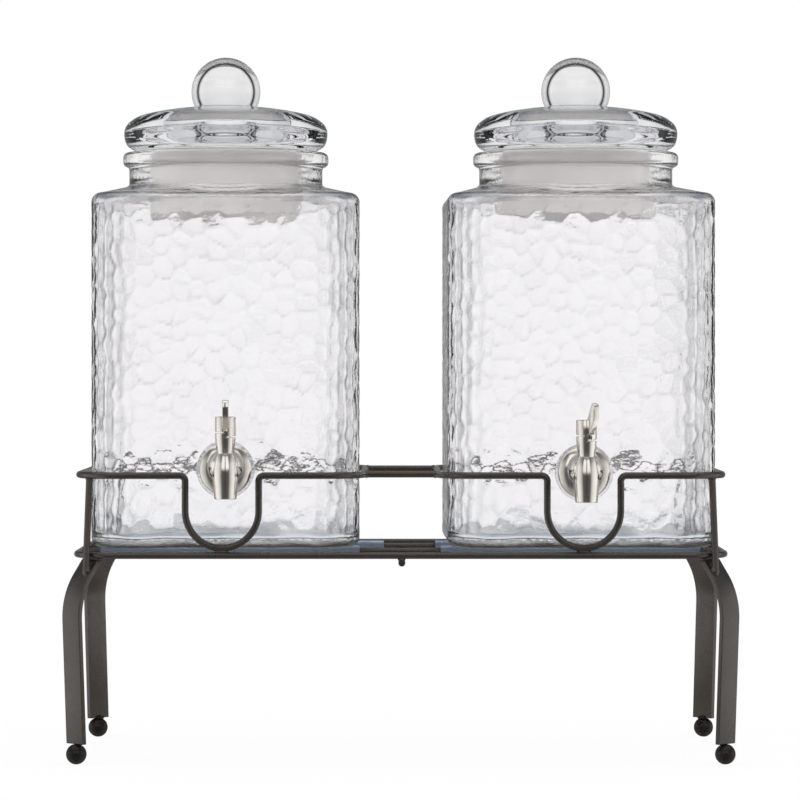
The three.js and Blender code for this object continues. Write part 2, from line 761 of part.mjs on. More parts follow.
// One dispenser: jar, lid and tap, in the jar's own frame with its base at zero
function dispenser(name, tapHeight, handleTurn, jarTurn) {
  const group = new THREE.Group();
  group.add(
    meshOf(name + "_jar", jar(tapHeight), clearGlass),
    meshOf(name + "_lid", lid(), clearGlass),
    meshOf(name + "_lid_sleeve", lidSleeve(), softPlastic),
  );

  const tap = new THREE.Group();
  tap.position.set(0, -jarHalf, tapHeight);
  const bore = shankDiameter / 2 + seat;
  const washer = flatRing(outerWasherDiameter / 2, bore, seat, seat + outerWasher, 24);
  const innerBack = -jarWall - seat - innerWasher;
  const backWasher = flatRing(innerWasherDiameter / 2, bore, innerBack, -jarWall - seat, 20);
  tap.add(
    meshOf(name + "_tap_body", tapBody(), polishedSteel),
    meshOf(name + "_escutcheon", escutcheon(), polishedSteel),
    meshOf(name + "_outer_washer", washer, siliconeRubber),
    meshOf(name + "_inner_washer", backWasher, siliconeRubber),
    meshOf(name + "_shank_nut", shankNut(), polishedSteel),
  );

  const turning = new THREE.Group();
  turning.position.y = -tapReach;
  turning.rotation.z = handleTurn;
  turning.add(
    meshOf(name + "_handle", handle(), polishedSteel),
    meshOf(name + "_handle_pin", handlePin(), polishedSteel),
    meshOf(name + "_valve_stem", valveStem(), polishedSteel),
    meshOf(name + "_stem_ring", stemRing(), siliconeRubber),
  );
  tap.add(turning);
  group.add(tap);
  group.rotation.z = jarTurn;
  return group;
}

const assembly = new THREE.Group();
assembly.add(stand());
["left", "right"].forEach((name, i) => {
  const placed = dispenser(name, tapHeights[i], handleTurns[i], jarTurns[i]);
  placed.position.set((i === 0 ? -1 : 1) * jarCentre, 0, jarBase);
  assembly.add(placed);
});

// The part's own origin is on the floor at the middle of its reach
const reach = new THREE.Box3().setFromObject(assembly, true);
assembly.position.set(-(reach.min.x + reach.max.x) / 2, -(reach.min.y + reach.max.y) / 2, 0);

export default assembly;
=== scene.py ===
import bmesh
import bpy
import math
import random
from mathutils import Matrix, Vector, noise


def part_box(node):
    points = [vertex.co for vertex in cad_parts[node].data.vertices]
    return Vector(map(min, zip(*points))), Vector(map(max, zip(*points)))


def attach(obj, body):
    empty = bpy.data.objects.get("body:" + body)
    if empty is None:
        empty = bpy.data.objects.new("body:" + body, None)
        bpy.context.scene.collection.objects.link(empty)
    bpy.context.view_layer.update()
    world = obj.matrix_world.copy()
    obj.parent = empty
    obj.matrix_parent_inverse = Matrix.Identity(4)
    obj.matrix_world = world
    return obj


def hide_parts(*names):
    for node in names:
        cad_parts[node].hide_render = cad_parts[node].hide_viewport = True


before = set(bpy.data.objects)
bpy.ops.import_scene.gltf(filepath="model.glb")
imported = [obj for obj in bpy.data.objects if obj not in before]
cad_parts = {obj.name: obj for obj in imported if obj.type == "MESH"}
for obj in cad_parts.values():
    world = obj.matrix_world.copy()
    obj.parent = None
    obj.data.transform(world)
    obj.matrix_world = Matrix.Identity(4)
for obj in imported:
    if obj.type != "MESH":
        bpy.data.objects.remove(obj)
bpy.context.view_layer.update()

QUARTER = math.pi / 2

# Stand, in metres; the size of a round part is its radius
MIDDLE_Y = 0.0107573  # middle of the stand and the jars, from front to back
WIRE, WIRE_FACETS = 0.0021, 5
JOINT = 0.0003  # gap that a weld bridges
CORNER, CORNER_STEPS = 0.025, 12
CORNER_CUT = CORNER * (1 - math.sqrt(0.5))  # from the square corner in to the middle of its bend
RING_Z, RING_HALF_X = 0.126, 0.1973
LOOP_Z, LOOP_HALF = 0.1743, 0.0866
GUARD, GUARD_SHIFT = 0.0222, 0.0013  # the U round each tap, and how far right of the jar's middle it stands
GUARD_Z = RING_Z + 2 * WIRE + JOINT + GUARD
ELBOW, ELBOW_STEPS, GUARD_STEPS = 0.0034, 6, 24
LINK_Y, ROD_Y = 0.058, 0.033
POST_PAST_RING = 0.0085
LEG_EDGE = 0.0005
BALL, BALL_FLAT, BALL_TOP, BALL_STEPS = 0.00625, 0.0013, 0.0119, 18
SLEEVE_BORE, SLEEVE, SLEEVE_EDGE = 0.0024, 0.0035, 0.0001
CORNERS = {
    "front_left": (-1, -1), "front_right": (1, -1), "rear_left": (-1, 1), "rear_right": (1, 1),
}

# Size of each kind of weld, and its stretch along x, y and z
WELDS = {
    "guard": (0.0026, (1.7, 0.8, 0.62)),
    "link": (0.0026, (0.75, 1.15, 0.9)),
    "rod": (0.0026, (0.75, 1.2, 0.9)),
    "brace": (0.0022, (1.1, 1.1, 0.5)),
    "ball": (0.0028, (1, 1, 0.5)),
    "post_foot": (0.0029, (1, 1, 1.3)),
    "post_ring": (0.0023, (1, 1, 0.9)),
    "post_top": (0.0024, (1.1, 1.1, 0.6)),
}
WELD_SWELL, WELD_GRAIN = 0.16, 1.7
GUARD_WELD_IN, GUARD_WELD_UP = 0.0004, 0.0023
LINK_WELD_PAST, ROD_WELD_PAST = 0.0004, 0.0003
BRACE_WELD_UP = 0.0022
BALL_WELD_IN, BALL_WELD_Z = 0.0012, 0.0124
POST_FOOT_WELD_IN, POST_FOOT_WELD_DOWN, POST_RING_WELD_UP, POST_TOP_WELD_UP = 0.0008, 0.001, 0.0005, 0.0002

# Jars, in metres; heights are above the jar's base, and HALF is half a width
JAR_X, JAR_BASE = 0.1094, 0.1298
JAR_HALF, JAR_CORNER = 0.082, 0.027
JAR_WALL, JAR_ROOF, JAR_FLOOR, INNER_HEEL = 0.003, 0.0022, 0.0062, 0.004
SHOULDER_Z, SHOULDER, HEEL = 0.2167, 0.006, 0.006
NECK, NECK_RISE, NECK_WALL = 0.0603, 0.0057, 0.0058
NECK_BASE = SHOULDER_Z + NECK_RISE
NECK_FOOT, NECK_FOOT_UP, NECK_FILLET, NECK_FILLET_UP, NECK_FILLET_START = 0.0012, 0.0001, 0.0016, 0.0018, -2.4
NECK_START, NECK_END = 0.005, 0.002
FLANGE, FLANGE_ROUND = 0.0641, 0.0032
FLANGE_LOW = NECK_BASE + 0.0121
FLANGE_TOP = FLANGE_LOW + 0.0091
BORE, BORE_ROUND, BORE_UP, BORE_DOWN = NECK - NECK_WALL, 0.002, 0.006, 0.002
ROOF_FALL = math.atan2(NECK_RISE, JAR_HALF - NECK)
TAP_BOSS, BOSS_REACH, BOSS_FADE = 0.0015, 0.038, 0.018
SIDES = {
    "left": {"x": -JAR_X, "turn": math.radians(2.3), "tap": 0.0482, "handle": 0.0, "seed": 3.7},
    "right": {"x": JAR_X, "turn": math.radians(1.0), "tap": 0.0462, "handle": math.radians(28), "seed": 21.3},
}


# Nodes
class Nodes:
    """Makes and links the nodes of one tree."""

    def __init__(self, tree):
        self.tree = tree
        tree.nodes.clear()

    def node(self, kind, **values):
        made = self.tree.nodes.new(kind)
        for key, value in values.items():
            setattr(made, key, value)
        return made

    def link(self, source, target):
        self.tree.links.new(source, target)

    def set(self, target, **values):
        for key, value in values.items():
            target.inputs[key.replace("_", " ")].default_value = value

    def ramp(self, source, stops):
        """Colour ramp, from (position, grey or colour) pairs."""
        made = self.node("ShaderNodeValToRGB")
        elements = made.color_ramp.elements
        elements[0].position, elements[1].position = stops[0][0], stops[-1][0]
        for position, _ in stops[1:-1]:
            elements.new(position)
        for element, (_, value) in zip(elements, stops):
            element.color = (*value, 1) if isinstance(value, tuple) else (value, value, value, 1)
        self.link(source, made.inputs["Fac"])
        return made.outputs["Color"]

    def calc(self, operation, *given, **values):
        """Math on sockets and plain numbers."""
        made = self.node("ShaderNodeMath", operation=operation, **values)
        for target, source in zip(made.inputs, given):
            if isinstance(source, float):
                target.default_value = source
            else:
                self.link(source, target)
        return made.outputs["Value"]

    def between(self, source, start, end, low=0.0, high=1.0):
        """Goes from low to high as the source goes from start to end."""
        made = self.node("ShaderNodeMapRange")
        self.set(made, From_Min=start, From_Max=end, To_Min=low, To_Max=high)
        self.link(source, made.inputs["Value"])
        return made.outputs["Result"]

    def blend(self, share, first, second):
        """Shader that goes from the first to the second as the share goes from 0 to 1."""
        made = self.node("ShaderNodeMixShader")
        for target, source in zip(made.inputs, (share, first, second)):
            self.link(source, target)
        return made.outputs["Shader"]

    def path(self, kind):
        """1 for one kind of ray, and 0 for the others."""
        return self.node("ShaderNodeLightPath").outputs[f"Is {kind} Ray"]


class Finish(Nodes):
    """A material being built round one main shader."""

    MIX_SHARE, MIX_FIRST, MIX_SECOND, MIX_RESULT = 0, 6, 7, 2

    def __init__(self, name):
        self.material = bpy.data.materials.new(name)
        self.material.use_nodes = True
        super().__init__(self.material.node_tree)
        self.surface = self.node("ShaderNodeOutputMaterial").inputs["Surface"]
        self.shader = self.node("ShaderNodeBsdfPrincipled")
        self.link(self.shader.outputs["BSDF"], self.surface)

    def shade(self, **values):
        """Sets the shader's sockets to plain values."""
        self.set(self.shader, **values)

    def feed(self, socket, source):
        self.link(source, self.shader.inputs[socket])

    def place(self, stretch=(1, 1, 1)):
        mapping = self.node("ShaderNodeMapping")
        self.set(mapping, Scale=stretch)
        self.link(self.node("ShaderNodeTexCoord").outputs["Object"], mapping.inputs["Vector"])
        return mapping.outputs["Vector"]

    def noise(self, scale, detail, stretch=(1, 1, 1)):
        made = self.node("ShaderNodeTexNoise")
        self.set(made, Scale=scale, Detail=detail)
        self.link(self.place(stretch), made.inputs["Vector"])
        return made.outputs["Fac"]

    def slant(self):
        """How far the surface turns away from the eye."""
        return self.node("ShaderNodeLayerWeight").outputs["Facing"]

    def mix(self, kind, first, second, share=None):
        """Two colours mixed or multiplied, wholly or by a share."""
        made = self.node("ShaderNodeMix", data_type="RGBA", blend_type=kind)
        made.inputs[self.MIX_SHARE].default_value = 1.0
        self.link(first, made.inputs[self.MIX_FIRST])
        self.link(second, made.inputs[self.MIX_SECOND])
        if share:
            self.link(share, made.inputs[self.MIX_SHARE])
        return made.outputs[self.MIX_RESULT]

    def bump(self, source, strength, distance):
        made = self.node("ShaderNodeBump")
        self.set(made, Strength=strength, Distance=distance)
        self.link(source, made.inputs["Height"])
        self.feed("Normal", made.outputs["Normal"])
        return made

    def glow(self, colour, strength):
        made = self.node("ShaderNodeEmission")
        self.set(made, Color=colour, Strength=strength)
        return made.outputs["Emission"]


# Finishes
PAINT_DARK, PAINT_LIGHT = (0.0155, 0.0140, 0.0130), (0.0240, 0.0212, 0.0190)
PAINT_SHEEN = (1.0, 0.92, 0.85, 1)
JAR_TINT, LID_TINT = (0.985, 0.978, 0.988), (0.985, 0.985, 0.99)
JAR_WAVE, LID_WAVE = {"scale": 300, "detail": 4}, {"scale": 60, "detail": 2}
KNOB_FROM_Z = 0.4022

# Painted shade in the glass by slant, from square on (0) to edge on (1): the darkening towards the edges, and
# the knob's dark ring, stand in for the dark surroundings that the glass refracts
JAR_EDGE_SHADE = [(0.0, 0.985), (0.3, 0.98), (0.5, 0.96), (0.72, 0.92), (0.86, 0.78), (0.94, 0.36), (1.0, 0.1)]
LID_EDGE_SHADE = [
    (0.0, (0.95, 0.95, 0.96)), (0.3, (0.90, 0.90, 0.91)), (0.45, (0.80, 0.81, 0.82)),
    (0.6, (0.66, 0.68, 0.70)), (0.75, (0.54, 0.59, 0.62)), (0.9, (0.48, 0.55, 0.59)),
    (1.0, (0.44, 0.52, 0.56)),
]
KNOB_RING_SHADE = [
    (0.0, 0.86), (0.33, 0.82), (0.38, 0.15), (0.40, 0.0), (0.445, 0.0), (0.48, 0.25), (0.55, 0.8),
    (0.82, 0.7), (0.92, 0.2), (1.0, 0.02),
]

# Painted shade by slant on a jar's marks: dark lines between pebbles, dark spots on its floor, a dark band on
# its shoulder. They stand in for the dark that the glass refracts there
PAINTED_MARK_SHADES = {
    "groove_shade": [
        (0.0, (0.66, 0.66, 0.68)), (0.04, (0.58, 0.58, 0.60)), (0.12, (0.22, 0.23, 0.25)),
        (0.3, (0.07, 0.08, 0.09)), (0.6, (0.03, 0.035, 0.045)), (0.9, (0.02, 0.025, 0.03)),
    ],
    "jar_floor_shade": [(0.0, (0.5, 0.54, 0.57)), (0.5, (0.42, 0.47, 0.50)), (1.0, (0.36, 0.42, 0.46))],
    "shoulder": [(0.0, (0.07, 0.09, 0.12)), (0.5, (0.05, 0.065, 0.085)), (1.0, (0.07, 0.09, 0.11))],
}

# Jar's base: the heights between which it clears, its tints (darker and bluer low down: partly the thick
# glass's own tint, partly painted shade for the dark stand seen through it), its haze and its stipple on the
# way up
BASE_START_Z, BASE_END_Z = 0.128, 0.164
BASE_TINT_AND_SHADE = [(0.0, (0.42, 0.49, 0.57)), (0.1, (0.72, 0.77, 0.80)), (0.19, (0.90, 0.92, 0.93))]
BASE_CLEAR = 0.4
BASE_HAZE = [(0.0, 0.16), (0.12, 0.1), (0.2, 0.04), (0.3, 0.0)]
BASE_STIPPLE = [(0.0, 1.0), (0.17, 1.0), (0.24, 0.32)]


def painted_steel(name="painted_steel", sheen=0.9, shade=1.0):
    """Satin dark bronze paint: slight orange peel, a little browner here and there."""
    made = Finish(name)
    dark, light = (tuple(c * shade for c in paint) for paint in (PAINT_DARK, PAINT_LIGHT))
    made.feed("Base Color", made.ramp(made.noise(scale=38, detail=4), [(0.3, dark), (0.7, light)]))
    made.feed("Roughness", made.ramp(made.noise(scale=120, detail=3), [(0.3, 0.18), (0.7, 0.3)]))
    made.shade(Specular_IOR_Level=sheen, Specular_Tint=PAINT_SHEEN)
    made.bump(made.noise(scale=900, detail=2), strength=0.25, distance=0.0002)
    return made.material


def glass(name, edge, tint, wave, knob=None, marks=None):
    """Clear glass with painted shade where it turns away from the eye, and darker and bluer towards the jar's
    base: partly the thick glass's own tint, partly painted shade.
    """
    made = Finish(name)
    made.shade(IOR=1.5, Transmission_Weight=1.0)
    slant = made.slant()
    place = made.node("ShaderNodeSeparateXYZ")
    made.link(made.place(), place.inputs["Vector"])
    height = place.outputs["Z"]
    colour = made.ramp(slant, edge)
    # The knob takes its own painted shade by slant: a dark ring and a dark outer edge.
    if knob:
        above = made.calc("GREATER_THAN", height, KNOB_FROM_Z)
        colour = made.mix("MIX", colour, made.ramp(slant, knob), above)
    # Towards the base: partly the thick glass's own tint, partly painted shade for the dark stand seen
    # through it.
    low = made.between(height, BASE_START_Z, BASE_END_Z)
    colour = made.mix("MULTIPLY", colour, made.ramp(low, [*BASE_TINT_AND_SHADE, (BASE_CLEAR, tint)]))
    made.feed("Roughness", made.ramp(low, BASE_HAZE))
    skin = made.bump(made.noise(**wave), strength=0.12, distance=0.0004)
    # Each mark carried by the mesh blends in its painted shade by slant.
    if marks:
        for attribute, shades in marks.items():
            marked = made.mix("MULTIPLY", colour, made.ramp(slant, shades))
            share = made.node("ShaderNodeAttribute", attribute_name=attribute).outputs["Fac"]
            colour = made.mix("MIX", colour, marked, share)
        made.link(made.ramp(low, BASE_STIPPLE), skin.inputs["Strength"])
    made.feed("Base Color", colour)
    return made.material


def hammered_glass():
    """The jars' glass, with the painted shade of the marks that their meshes carry."""
    return glass("hammered_glass", JAR_EDGE_SHADE, JAR_TINT, JAR_WAVE, marks=PAINTED_MARK_SHADES)


def smooth_glass():
    """The lids' glass, with painted shade of its own for the knob: a dark ring and a dark outer edge."""
    return glass("smooth_glass", LID_EDGE_SHADE, LID_TINT, LID_WAVE, knob=KNOB_RING_SHADE)


def soft_plastic():
    """Off-white plastic that lets a little light through."""
    made = Finish("soft_plastic")
    cloud = made.noise(scale=45, detail=3)
    made.feed("Base Color", made.ramp(cloud, [(0.3, (0.80, 0.78, 0.755)), (0.7, (0.87, 0.85, 0.825))]))
    made.shade(Roughness=0.42, Transmission_Weight=0.12, IOR=1.45)
    made.bump(made.noise(scale=300, detail=2), strength=0.15, distance=0.0002)
    return made.material


def clear_vinyl():
    """Blue-grey clear tube, streaked along its length."""
    made = Finish("clear_vinyl")
    cloud = made.noise(scale=90, detail=2, stretch=(0.2, 1, 1))
    made.feed("Roughness", made.ramp(cloud, [(0.3, 0.08), (0.7, 0.2)]))
    made.shade(Base_Color=(0.40, 0.48, 0.60, 1), Transmission_Weight=0.8, IOR=1.48)
    made.bump(made.noise(scale=260, detail=2, stretch=(0.15, 1, 1)), strength=0.2, distance=0.0002)
    return made.material


def polished_steel():
    """Polished steel: painted shade darkens it where it turns away, and it is faintly brushed."""
    made = Finish("polished_steel")
    cloud = made.ramp(made.noise(scale=160, detail=3), [(0.3, (0.86, 0.81, 0.74)), (0.7, (0.95, 0.91, 0.85))])
    # Painted shade: the colour falls off where the surface turns away from the eye.
    edges = made.ramp(made.slant(), [(0.0, 1.0), (0.45, 1.0), (0.62, 0.42), (1.0, 0.25)])
    made.feed("Base Color", made.mix("MULTIPLY", cloud, edges))
    brushed = made.noise(scale=420, detail=4, stretch=(1, 1, 6))
    made.feed("Roughness", made.ramp(brushed, [(0.3, 0.06), (0.7, 0.14)]))
    made.shade(Metallic=1.0)
    made.bump(made.noise(scale=700, detail=2, stretch=(1, 1, 5)), strength=0.1, distance=0.0001)
    return made.material


def silicone_rubber():
    """Nearly clear rubber."""
    made = Finish("silicone_rubber")
    cloud = made.noise(scale=140, detail=3)
    made.feed("Base Color", made.ramp(cloud, [(0.3, (0.88, 0.90, 0.92)), (0.7, (0.94, 0.95, 0.96))]))
    made.shade(Roughness=0.12, Transmission_Weight=0.92, IOR=1.41)
    made.bump(made.noise(scale=500, detail=2), strength=0.1, distance=0.0001)
    return made.material


FINISHES = {
    "painted_steel": painted_steel(),
    # The balls' copy of the paint: less glossy, and darker, which is painted shade for where they sit low
    # under the stand.
    "shaded_ball_paint": painted_steel("shaded_ball_paint", sheen=0.28, shade=0.46),
    "hammered_glass": hammered_glass(),
    "smooth_glass": smooth_glass(),
    "soft_plastic": soft_plastic(),
    "clear_vinyl": clear_vinyl(),
    "polished_steel": polished_steel(),
    "silicone_rubber": silicone_rubber(),
}


# Pieces
def piece(name, bm, finish, body, slot, node, sharp=40.0):
    """Finishes a bmesh as a piece that rides on a body and stands for a CAD node. Glass casts no shadow."""
    mesh = bpy.data.meshes.new(name)
    bm.to_mesh(mesh)
    bm.free()
    mesh.shade_smooth()
    if sharp:
        mesh.set_sharp_from_angle(angle=math.radians(sharp))
    mesh.materials.append(FINISHES[finish])
    made = bpy.data.objects.new(name, mesh)
    bpy.context.scene.collection.objects.link(made)
    made.visible_shadow = slot != "clear_glass"
    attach(made, body)
    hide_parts(node)


def painted(name, bm, node):
    piece(name, bm, "painted_steel", "stand", "painted_steel", node)


def moved(bm, matrix):
    bmesh.ops.transform(bm, matrix=matrix, verts=bm.verts)
    return bm


def joined(target, *others):
    """Adds the meshes of other bmeshes to the first."""
    for other in others:
        mesh = bpy.data.meshes.new("part")
        other.to_mesh(mesh)
        other.free()
        target.from_mesh(mesh)
        bpy.data.meshes.remove(mesh)
    return target


def arc(centre, radii, start, end, steps):
    return [
        (centre[0] + radii[0] * math.cos(a), centre[1] + radii[1] * math.sin(a))
        for a in (start + (end - start) * i / steps for i in range(steps + 1))
    ]


def smooth_path(points, steps):
    """Catmull-Rom curve through (radius, height) pairs."""
    out = []
    padded = [points[0], *points, points[-1]]
    for before, start, end, after in zip(padded, padded[1:], padded[2:], padded[3:]):
        for i in range(steps):
            t = i / steps
            out.append(tuple(
                0.5 * (2 * b + (c - a) * t + (2 * a - 5 * b + 4 * c - d) * t * t
                       + (3 * b - a - 3 * c + d) * t ** 3)
                for a, b, c, d in zip(before, start, end, after)
            ))
    return [*out, points[-1]]


def rounded(points, radius=0.0003, steps=3):
    """Outline of (radius, height) pairs with each inner corner rounded."""
    out = [points[0]]
    for before, corner, after in zip(points, points[1:], points[2:]):
        here = Vector(corner)
        reach = [min(radius, (Vector(end) - here).length / 2) for end in (before, after)]
        first = here + (Vector(before) - here).normalized() * reach[0]
        last = here + (Vector(after) - here).normalized() * reach[1]
        for i in range(steps + 1):
            t = i / steps
            out.append(tuple(first * (1 - t) ** 2 + here * (2 * t * (1 - t)) + last * t * t))
    return [*out, points[-1]]


def spun(profile, steps):
    """Closed solid of revolution about +Z, from (radius, height) pairs."""
    bm = bmesh.new()
    verts = [bm.verts.new((radius, 0, height)) for radius, height in profile]
    edges = [bm.edges.new(pair) for pair in zip(verts, verts[1:])]
    bmesh.ops.spin(bm, geom=verts + edges, cent=(0, 0, 0), axis=(0, 0, 1), dvec=(0, 0, 0),
                   angle=math.tau, steps=steps, use_merge=True)
    bmesh.ops.remove_doubles(bm, verts=bm.verts, dist=1e-6)
    bmesh.ops.recalc_face_normals(bm, faces=bm.faces)
    return bm


def ring_sector(profile, start, sweep, steps=32):
    """Part of a ring about +Z with flat ends, from a closed outline of (radius, height) pairs."""
    bm = bmesh.new()
    face = bm.faces.new([bm.verts.new((radius, 0, height)) for radius, height in profile])
    moved(bm, Matrix.Rotation(start, 4, "Z"))
    bmesh.ops.spin(bm, geom=[face, *face.edges, *face.verts], cent=(0, 0, 0), axis=(0, 0, 1), dvec=(0, 0, 0),
                   angle=sweep, steps=steps)
    bmesh.ops.recalc_face_normals(bm, faces=bm.faces)
    return bm


def wire(points, closed=False):
    """Round bent wire along points."""
    data = bpy.data.curves.new("wire", "CURVE")
    data.dimensions = "3D"
    data.bevel_depth = WIRE
    data.bevel_resolution = WIRE_FACETS
    data.use_fill_caps = True
    spline = data.splines.new("POLY")
    spline.points.add(len(points) - 1)
    for target, point in zip(spline.points, points):
        target.co = (*point, 1)
    spline.use_cyclic_u = closed
    carrier = bpy.data.objects.new("wire", data)
    bm = bmesh.new()
    bm.from_mesh(carrier.to_mesh())
    carrier.to_mesh_clear()
    bpy.data.objects.remove(carrier)
    bpy.data.curves.remove(data)
    bmesh.ops.remove_doubles(bm, verts=bm.verts, dist=1e-7)
    bmesh.ops.recalc_face_normals(bm, faces=bm.faces)
    return bm


def weld(kind, centre, seed):
    """A lump of weld: a rounded bead with an uneven skin."""
    size, stretch = WELDS[kind]
    bm = bmesh.new()
    bmesh.ops.create_icosphere(bm, subdivisions=3, radius=1.0)
    for v in bm.verts:
        swell = 1 + WELD_SWELL * noise.noise(v.co * WELD_GRAIN + Vector((seed, seed * 2, 0)))
        v.co = Vector(centre) + Vector([c * swell * size * s for c, s in zip(v.co, stretch)])
    return bm


def eased_copy(node, edge=0.0):
    """A merged copy of a CAD node's mesh, with its hard edges rounded."""
    bm = bmesh.new()
    bm.from_mesh(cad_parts[node].data)
    bmesh.ops.remove_doubles(bm, verts=bm.verts, dist=2e-6)
    bmesh.ops.dissolve_limit(bm, angle_limit=math.radians(0.5), verts=bm.verts, edges=bm.edges)
    if edge:
        hard = [e for e in bm.edges if len(e.link_faces) == 2 and e.calc_face_angle(0) > math.radians(50)]
        bmesh.ops.bevel(bm, geom=hard, offset=edge, segments=3, profile=0.5, affect="EDGES", material=-1,
                        clamp_overlap=True)
    return bm


# Stand
def corner_arc(x, y, z, start):
    flat = arc((x, y), (CORNER, CORNER), start, start + QUARTER, CORNER_STEPS)
    return [(a, b, z) for a, b in flat]


def base_ring():
    x, y = RING_HALF_X - CORNER, LOOP_HALF - CORNER
    path = []
    for i, (cx, cy) in enumerate(((x, y), (-x, y), (-x, -y), (x, -y))):
        path += corner_arc(cx, MIDDLE_Y + cy, RING_Z, i * QUARTER)
    painted("base_ring_wire", wire(path, closed=True), "base_ring")


def jar_loop(side, x):
    """Rounded square of wire whose front dips in a U round the tap, down to the base ring."""
    inner = LOOP_HALF - CORNER
    middle, front, bend = x + GUARD_SHIFT, MIDDLE_Y - LOOP_HALF, LOOP_Z - ELBOW
    guard = [
        *arc((-GUARD - ELBOW, bend), (ELBOW, ELBOW), QUARTER, 0, ELBOW_STEPS),
        *arc((0, GUARD_Z), (GUARD, GUARD), 2 * QUARTER, 4 * QUARTER, GUARD_STEPS),
        *arc((GUARD + ELBOW, bend), (ELBOW, ELBOW), 2 * QUARTER, QUARTER, ELBOW_STEPS),
    ]
    path = [
        *corner_arc(x + inner, MIDDLE_Y + inner, LOOP_Z, 0),
        *corner_arc(x - inner, MIDDLE_Y + inner, LOOP_Z, QUARTER),
        *corner_arc(x - inner, MIDDLE_Y - inner, LOOP_Z, 2 * QUARTER),
        *((middle + a, front, z) for a, z in guard),
        *corner_arc(x + inner, MIDDLE_Y - inner, LOOP_Z, 3 * QUARTER),
    ]
    bead = weld("guard", (middle, front + GUARD_WELD_IN, RING_Z + GUARD_WELD_UP), x)
    painted(side + "_jar_loop_wire", joined(wire(path, closed=True), bead), side + "_jar_loop")


def bar(half, y, z, kind, past, seeds):
    """Straight wire along x with a weld at each end."""
    beads = (weld(kind, (s * (half + past), y, z), seed) for s, seed in zip((-1, 1), seeds))
    return joined(wire([(-half, y, z), (half, y, z)]), *beads)


def link_bar(name, sign):
    half = JAR_X - LOOP_HALF - WIRE
    bm = bar(half, MIDDLE_Y + sign * LINK_Y, LOOP_Z, "link", LINK_WELD_PAST, (sign - 5, sign + 5))
    painted(name + "_link_bar_wire", bm, name + "_link_bar")


def support_rod(name, sign):
    half = RING_HALF_X - WIRE
    bm = bar(half, MIDDLE_Y + sign * ROD_Y, RING_Z, "rod", ROD_WELD_PAST, (sign - 3, sign + 3))
    painted(name + "_support_rod_wire", bm, name + "_support_rod")


def cross_brace():
    low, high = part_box("cross_brace")
    x, z = (low[0] + high[0]) / 2, (low[2] + high[2]) / 2
    bm = wire([(x, low[1], z), (x, high[1], z)])
    for i, away in enumerate((-LOOP_HALF, -ROD_Y, ROD_Y, LOOP_HALF)):
        joined(bm, weld("brace", (x, MIDDLE_Y + away, z + BRACE_WELD_UP), i))
    painted("cross_brace_wire", bm, "cross_brace")


def leg_bar(corner):
    painted(corner + "_leg_bar", eased_copy(corner + "_leg", LEG_EDGE), corner + "_leg")


def ball_foot(corner, sx, sy):
    low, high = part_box(corner + "_ball_foot")
    centre = Vector(((low[0] + high[0]) / 2, (low[1] + high[1]) / 2, 0))
    middle = math.sqrt(BALL ** 2 - BALL_FLAT ** 2)
    foot, crown = math.asin(BALL_FLAT / BALL) - QUARTER, math.asin((BALL_TOP - middle) / BALL)
    profile = [(0, 0), *arc((0, middle), (BALL, BALL), foot, crown, BALL_STEPS), (0, BALL_TOP)]
    bead = weld("ball", centre + Vector((-sx * BALL_WELD_IN, -sy * BALL_WELD_IN, BALL_WELD_Z)), sx + 3 * sy)
    ball = joined(moved(spun(profile, steps=40), Matrix.Translation(centre)), bead)
    piece(corner + "_ball", ball, "shaded_ball_paint", "stand", "painted_steel", corner + "_ball_foot")


def post(corner, sx, sy):
    """Wire from a loop's corner down, past the outside of the ring, to the leg."""
    y = MIDDLE_Y + sy * (LOOP_HALF - CORNER_CUT)
    ring_x = sx * (RING_HALF_X - CORNER_CUT)
    apart = 2 * WIRE + JOINT
    past = math.sqrt(CORNER ** 2 / 2 + apart * (2 * CORNER + apart)) - CORNER * math.sqrt(0.5)
    top = Vector((sx * (JAR_X + LOOP_HALF - CORNER_CUT), y, LOOP_Z - WIRE))
    at_ring = Vector((ring_x, y + sy * past, RING_Z))
    end = at_ring + (at_ring - top) / (top.z - RING_Z) * POST_PAST_RING
    out = Vector((sx, sy, 0)).normalized()
    bm = joined(
        wire([top, end]),
        weld("post_foot", end - out * POST_FOOT_WELD_IN - Vector((0, 0, POST_FOOT_WELD_DOWN)), sx - sy),
        weld("post_ring", (ring_x, y + sy * past * 0.5, RING_Z + POST_RING_WELD_UP), sx),
        weld("post_top", top + Vector((0, 0, POST_TOP_WELD_UP)), sx + sy),
    )
    painted(corner + "_post_wire", bm, corner + "_post")


def rod_sleeve(corner):
    low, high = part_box(corner + "_rod_sleeve")
    length = high[0] - low[0]
    tube = spun([
        (SLEEVE_BORE, 0), (SLEEVE - SLEEVE_EDGE, 0), (SLEEVE, SLEEVE_EDGE), (SLEEVE, length - SLEEVE_EDGE),
        (SLEEVE - SLEEVE_EDGE, length), (SLEEVE_BORE, length), (SLEEVE_BORE, 0),
    ], steps=32)
    place = Matrix.Translation((low[0], (low[1] + high[1]) / 2, RING_Z)) @ Matrix.Rotation(QUARTER, 4, "Y")
    piece(corner + "_vinyl_sleeve", moved(tube, place), "clear_vinyl", "stand", "clear_vinyl",
          corner + "_rod_sleeve")


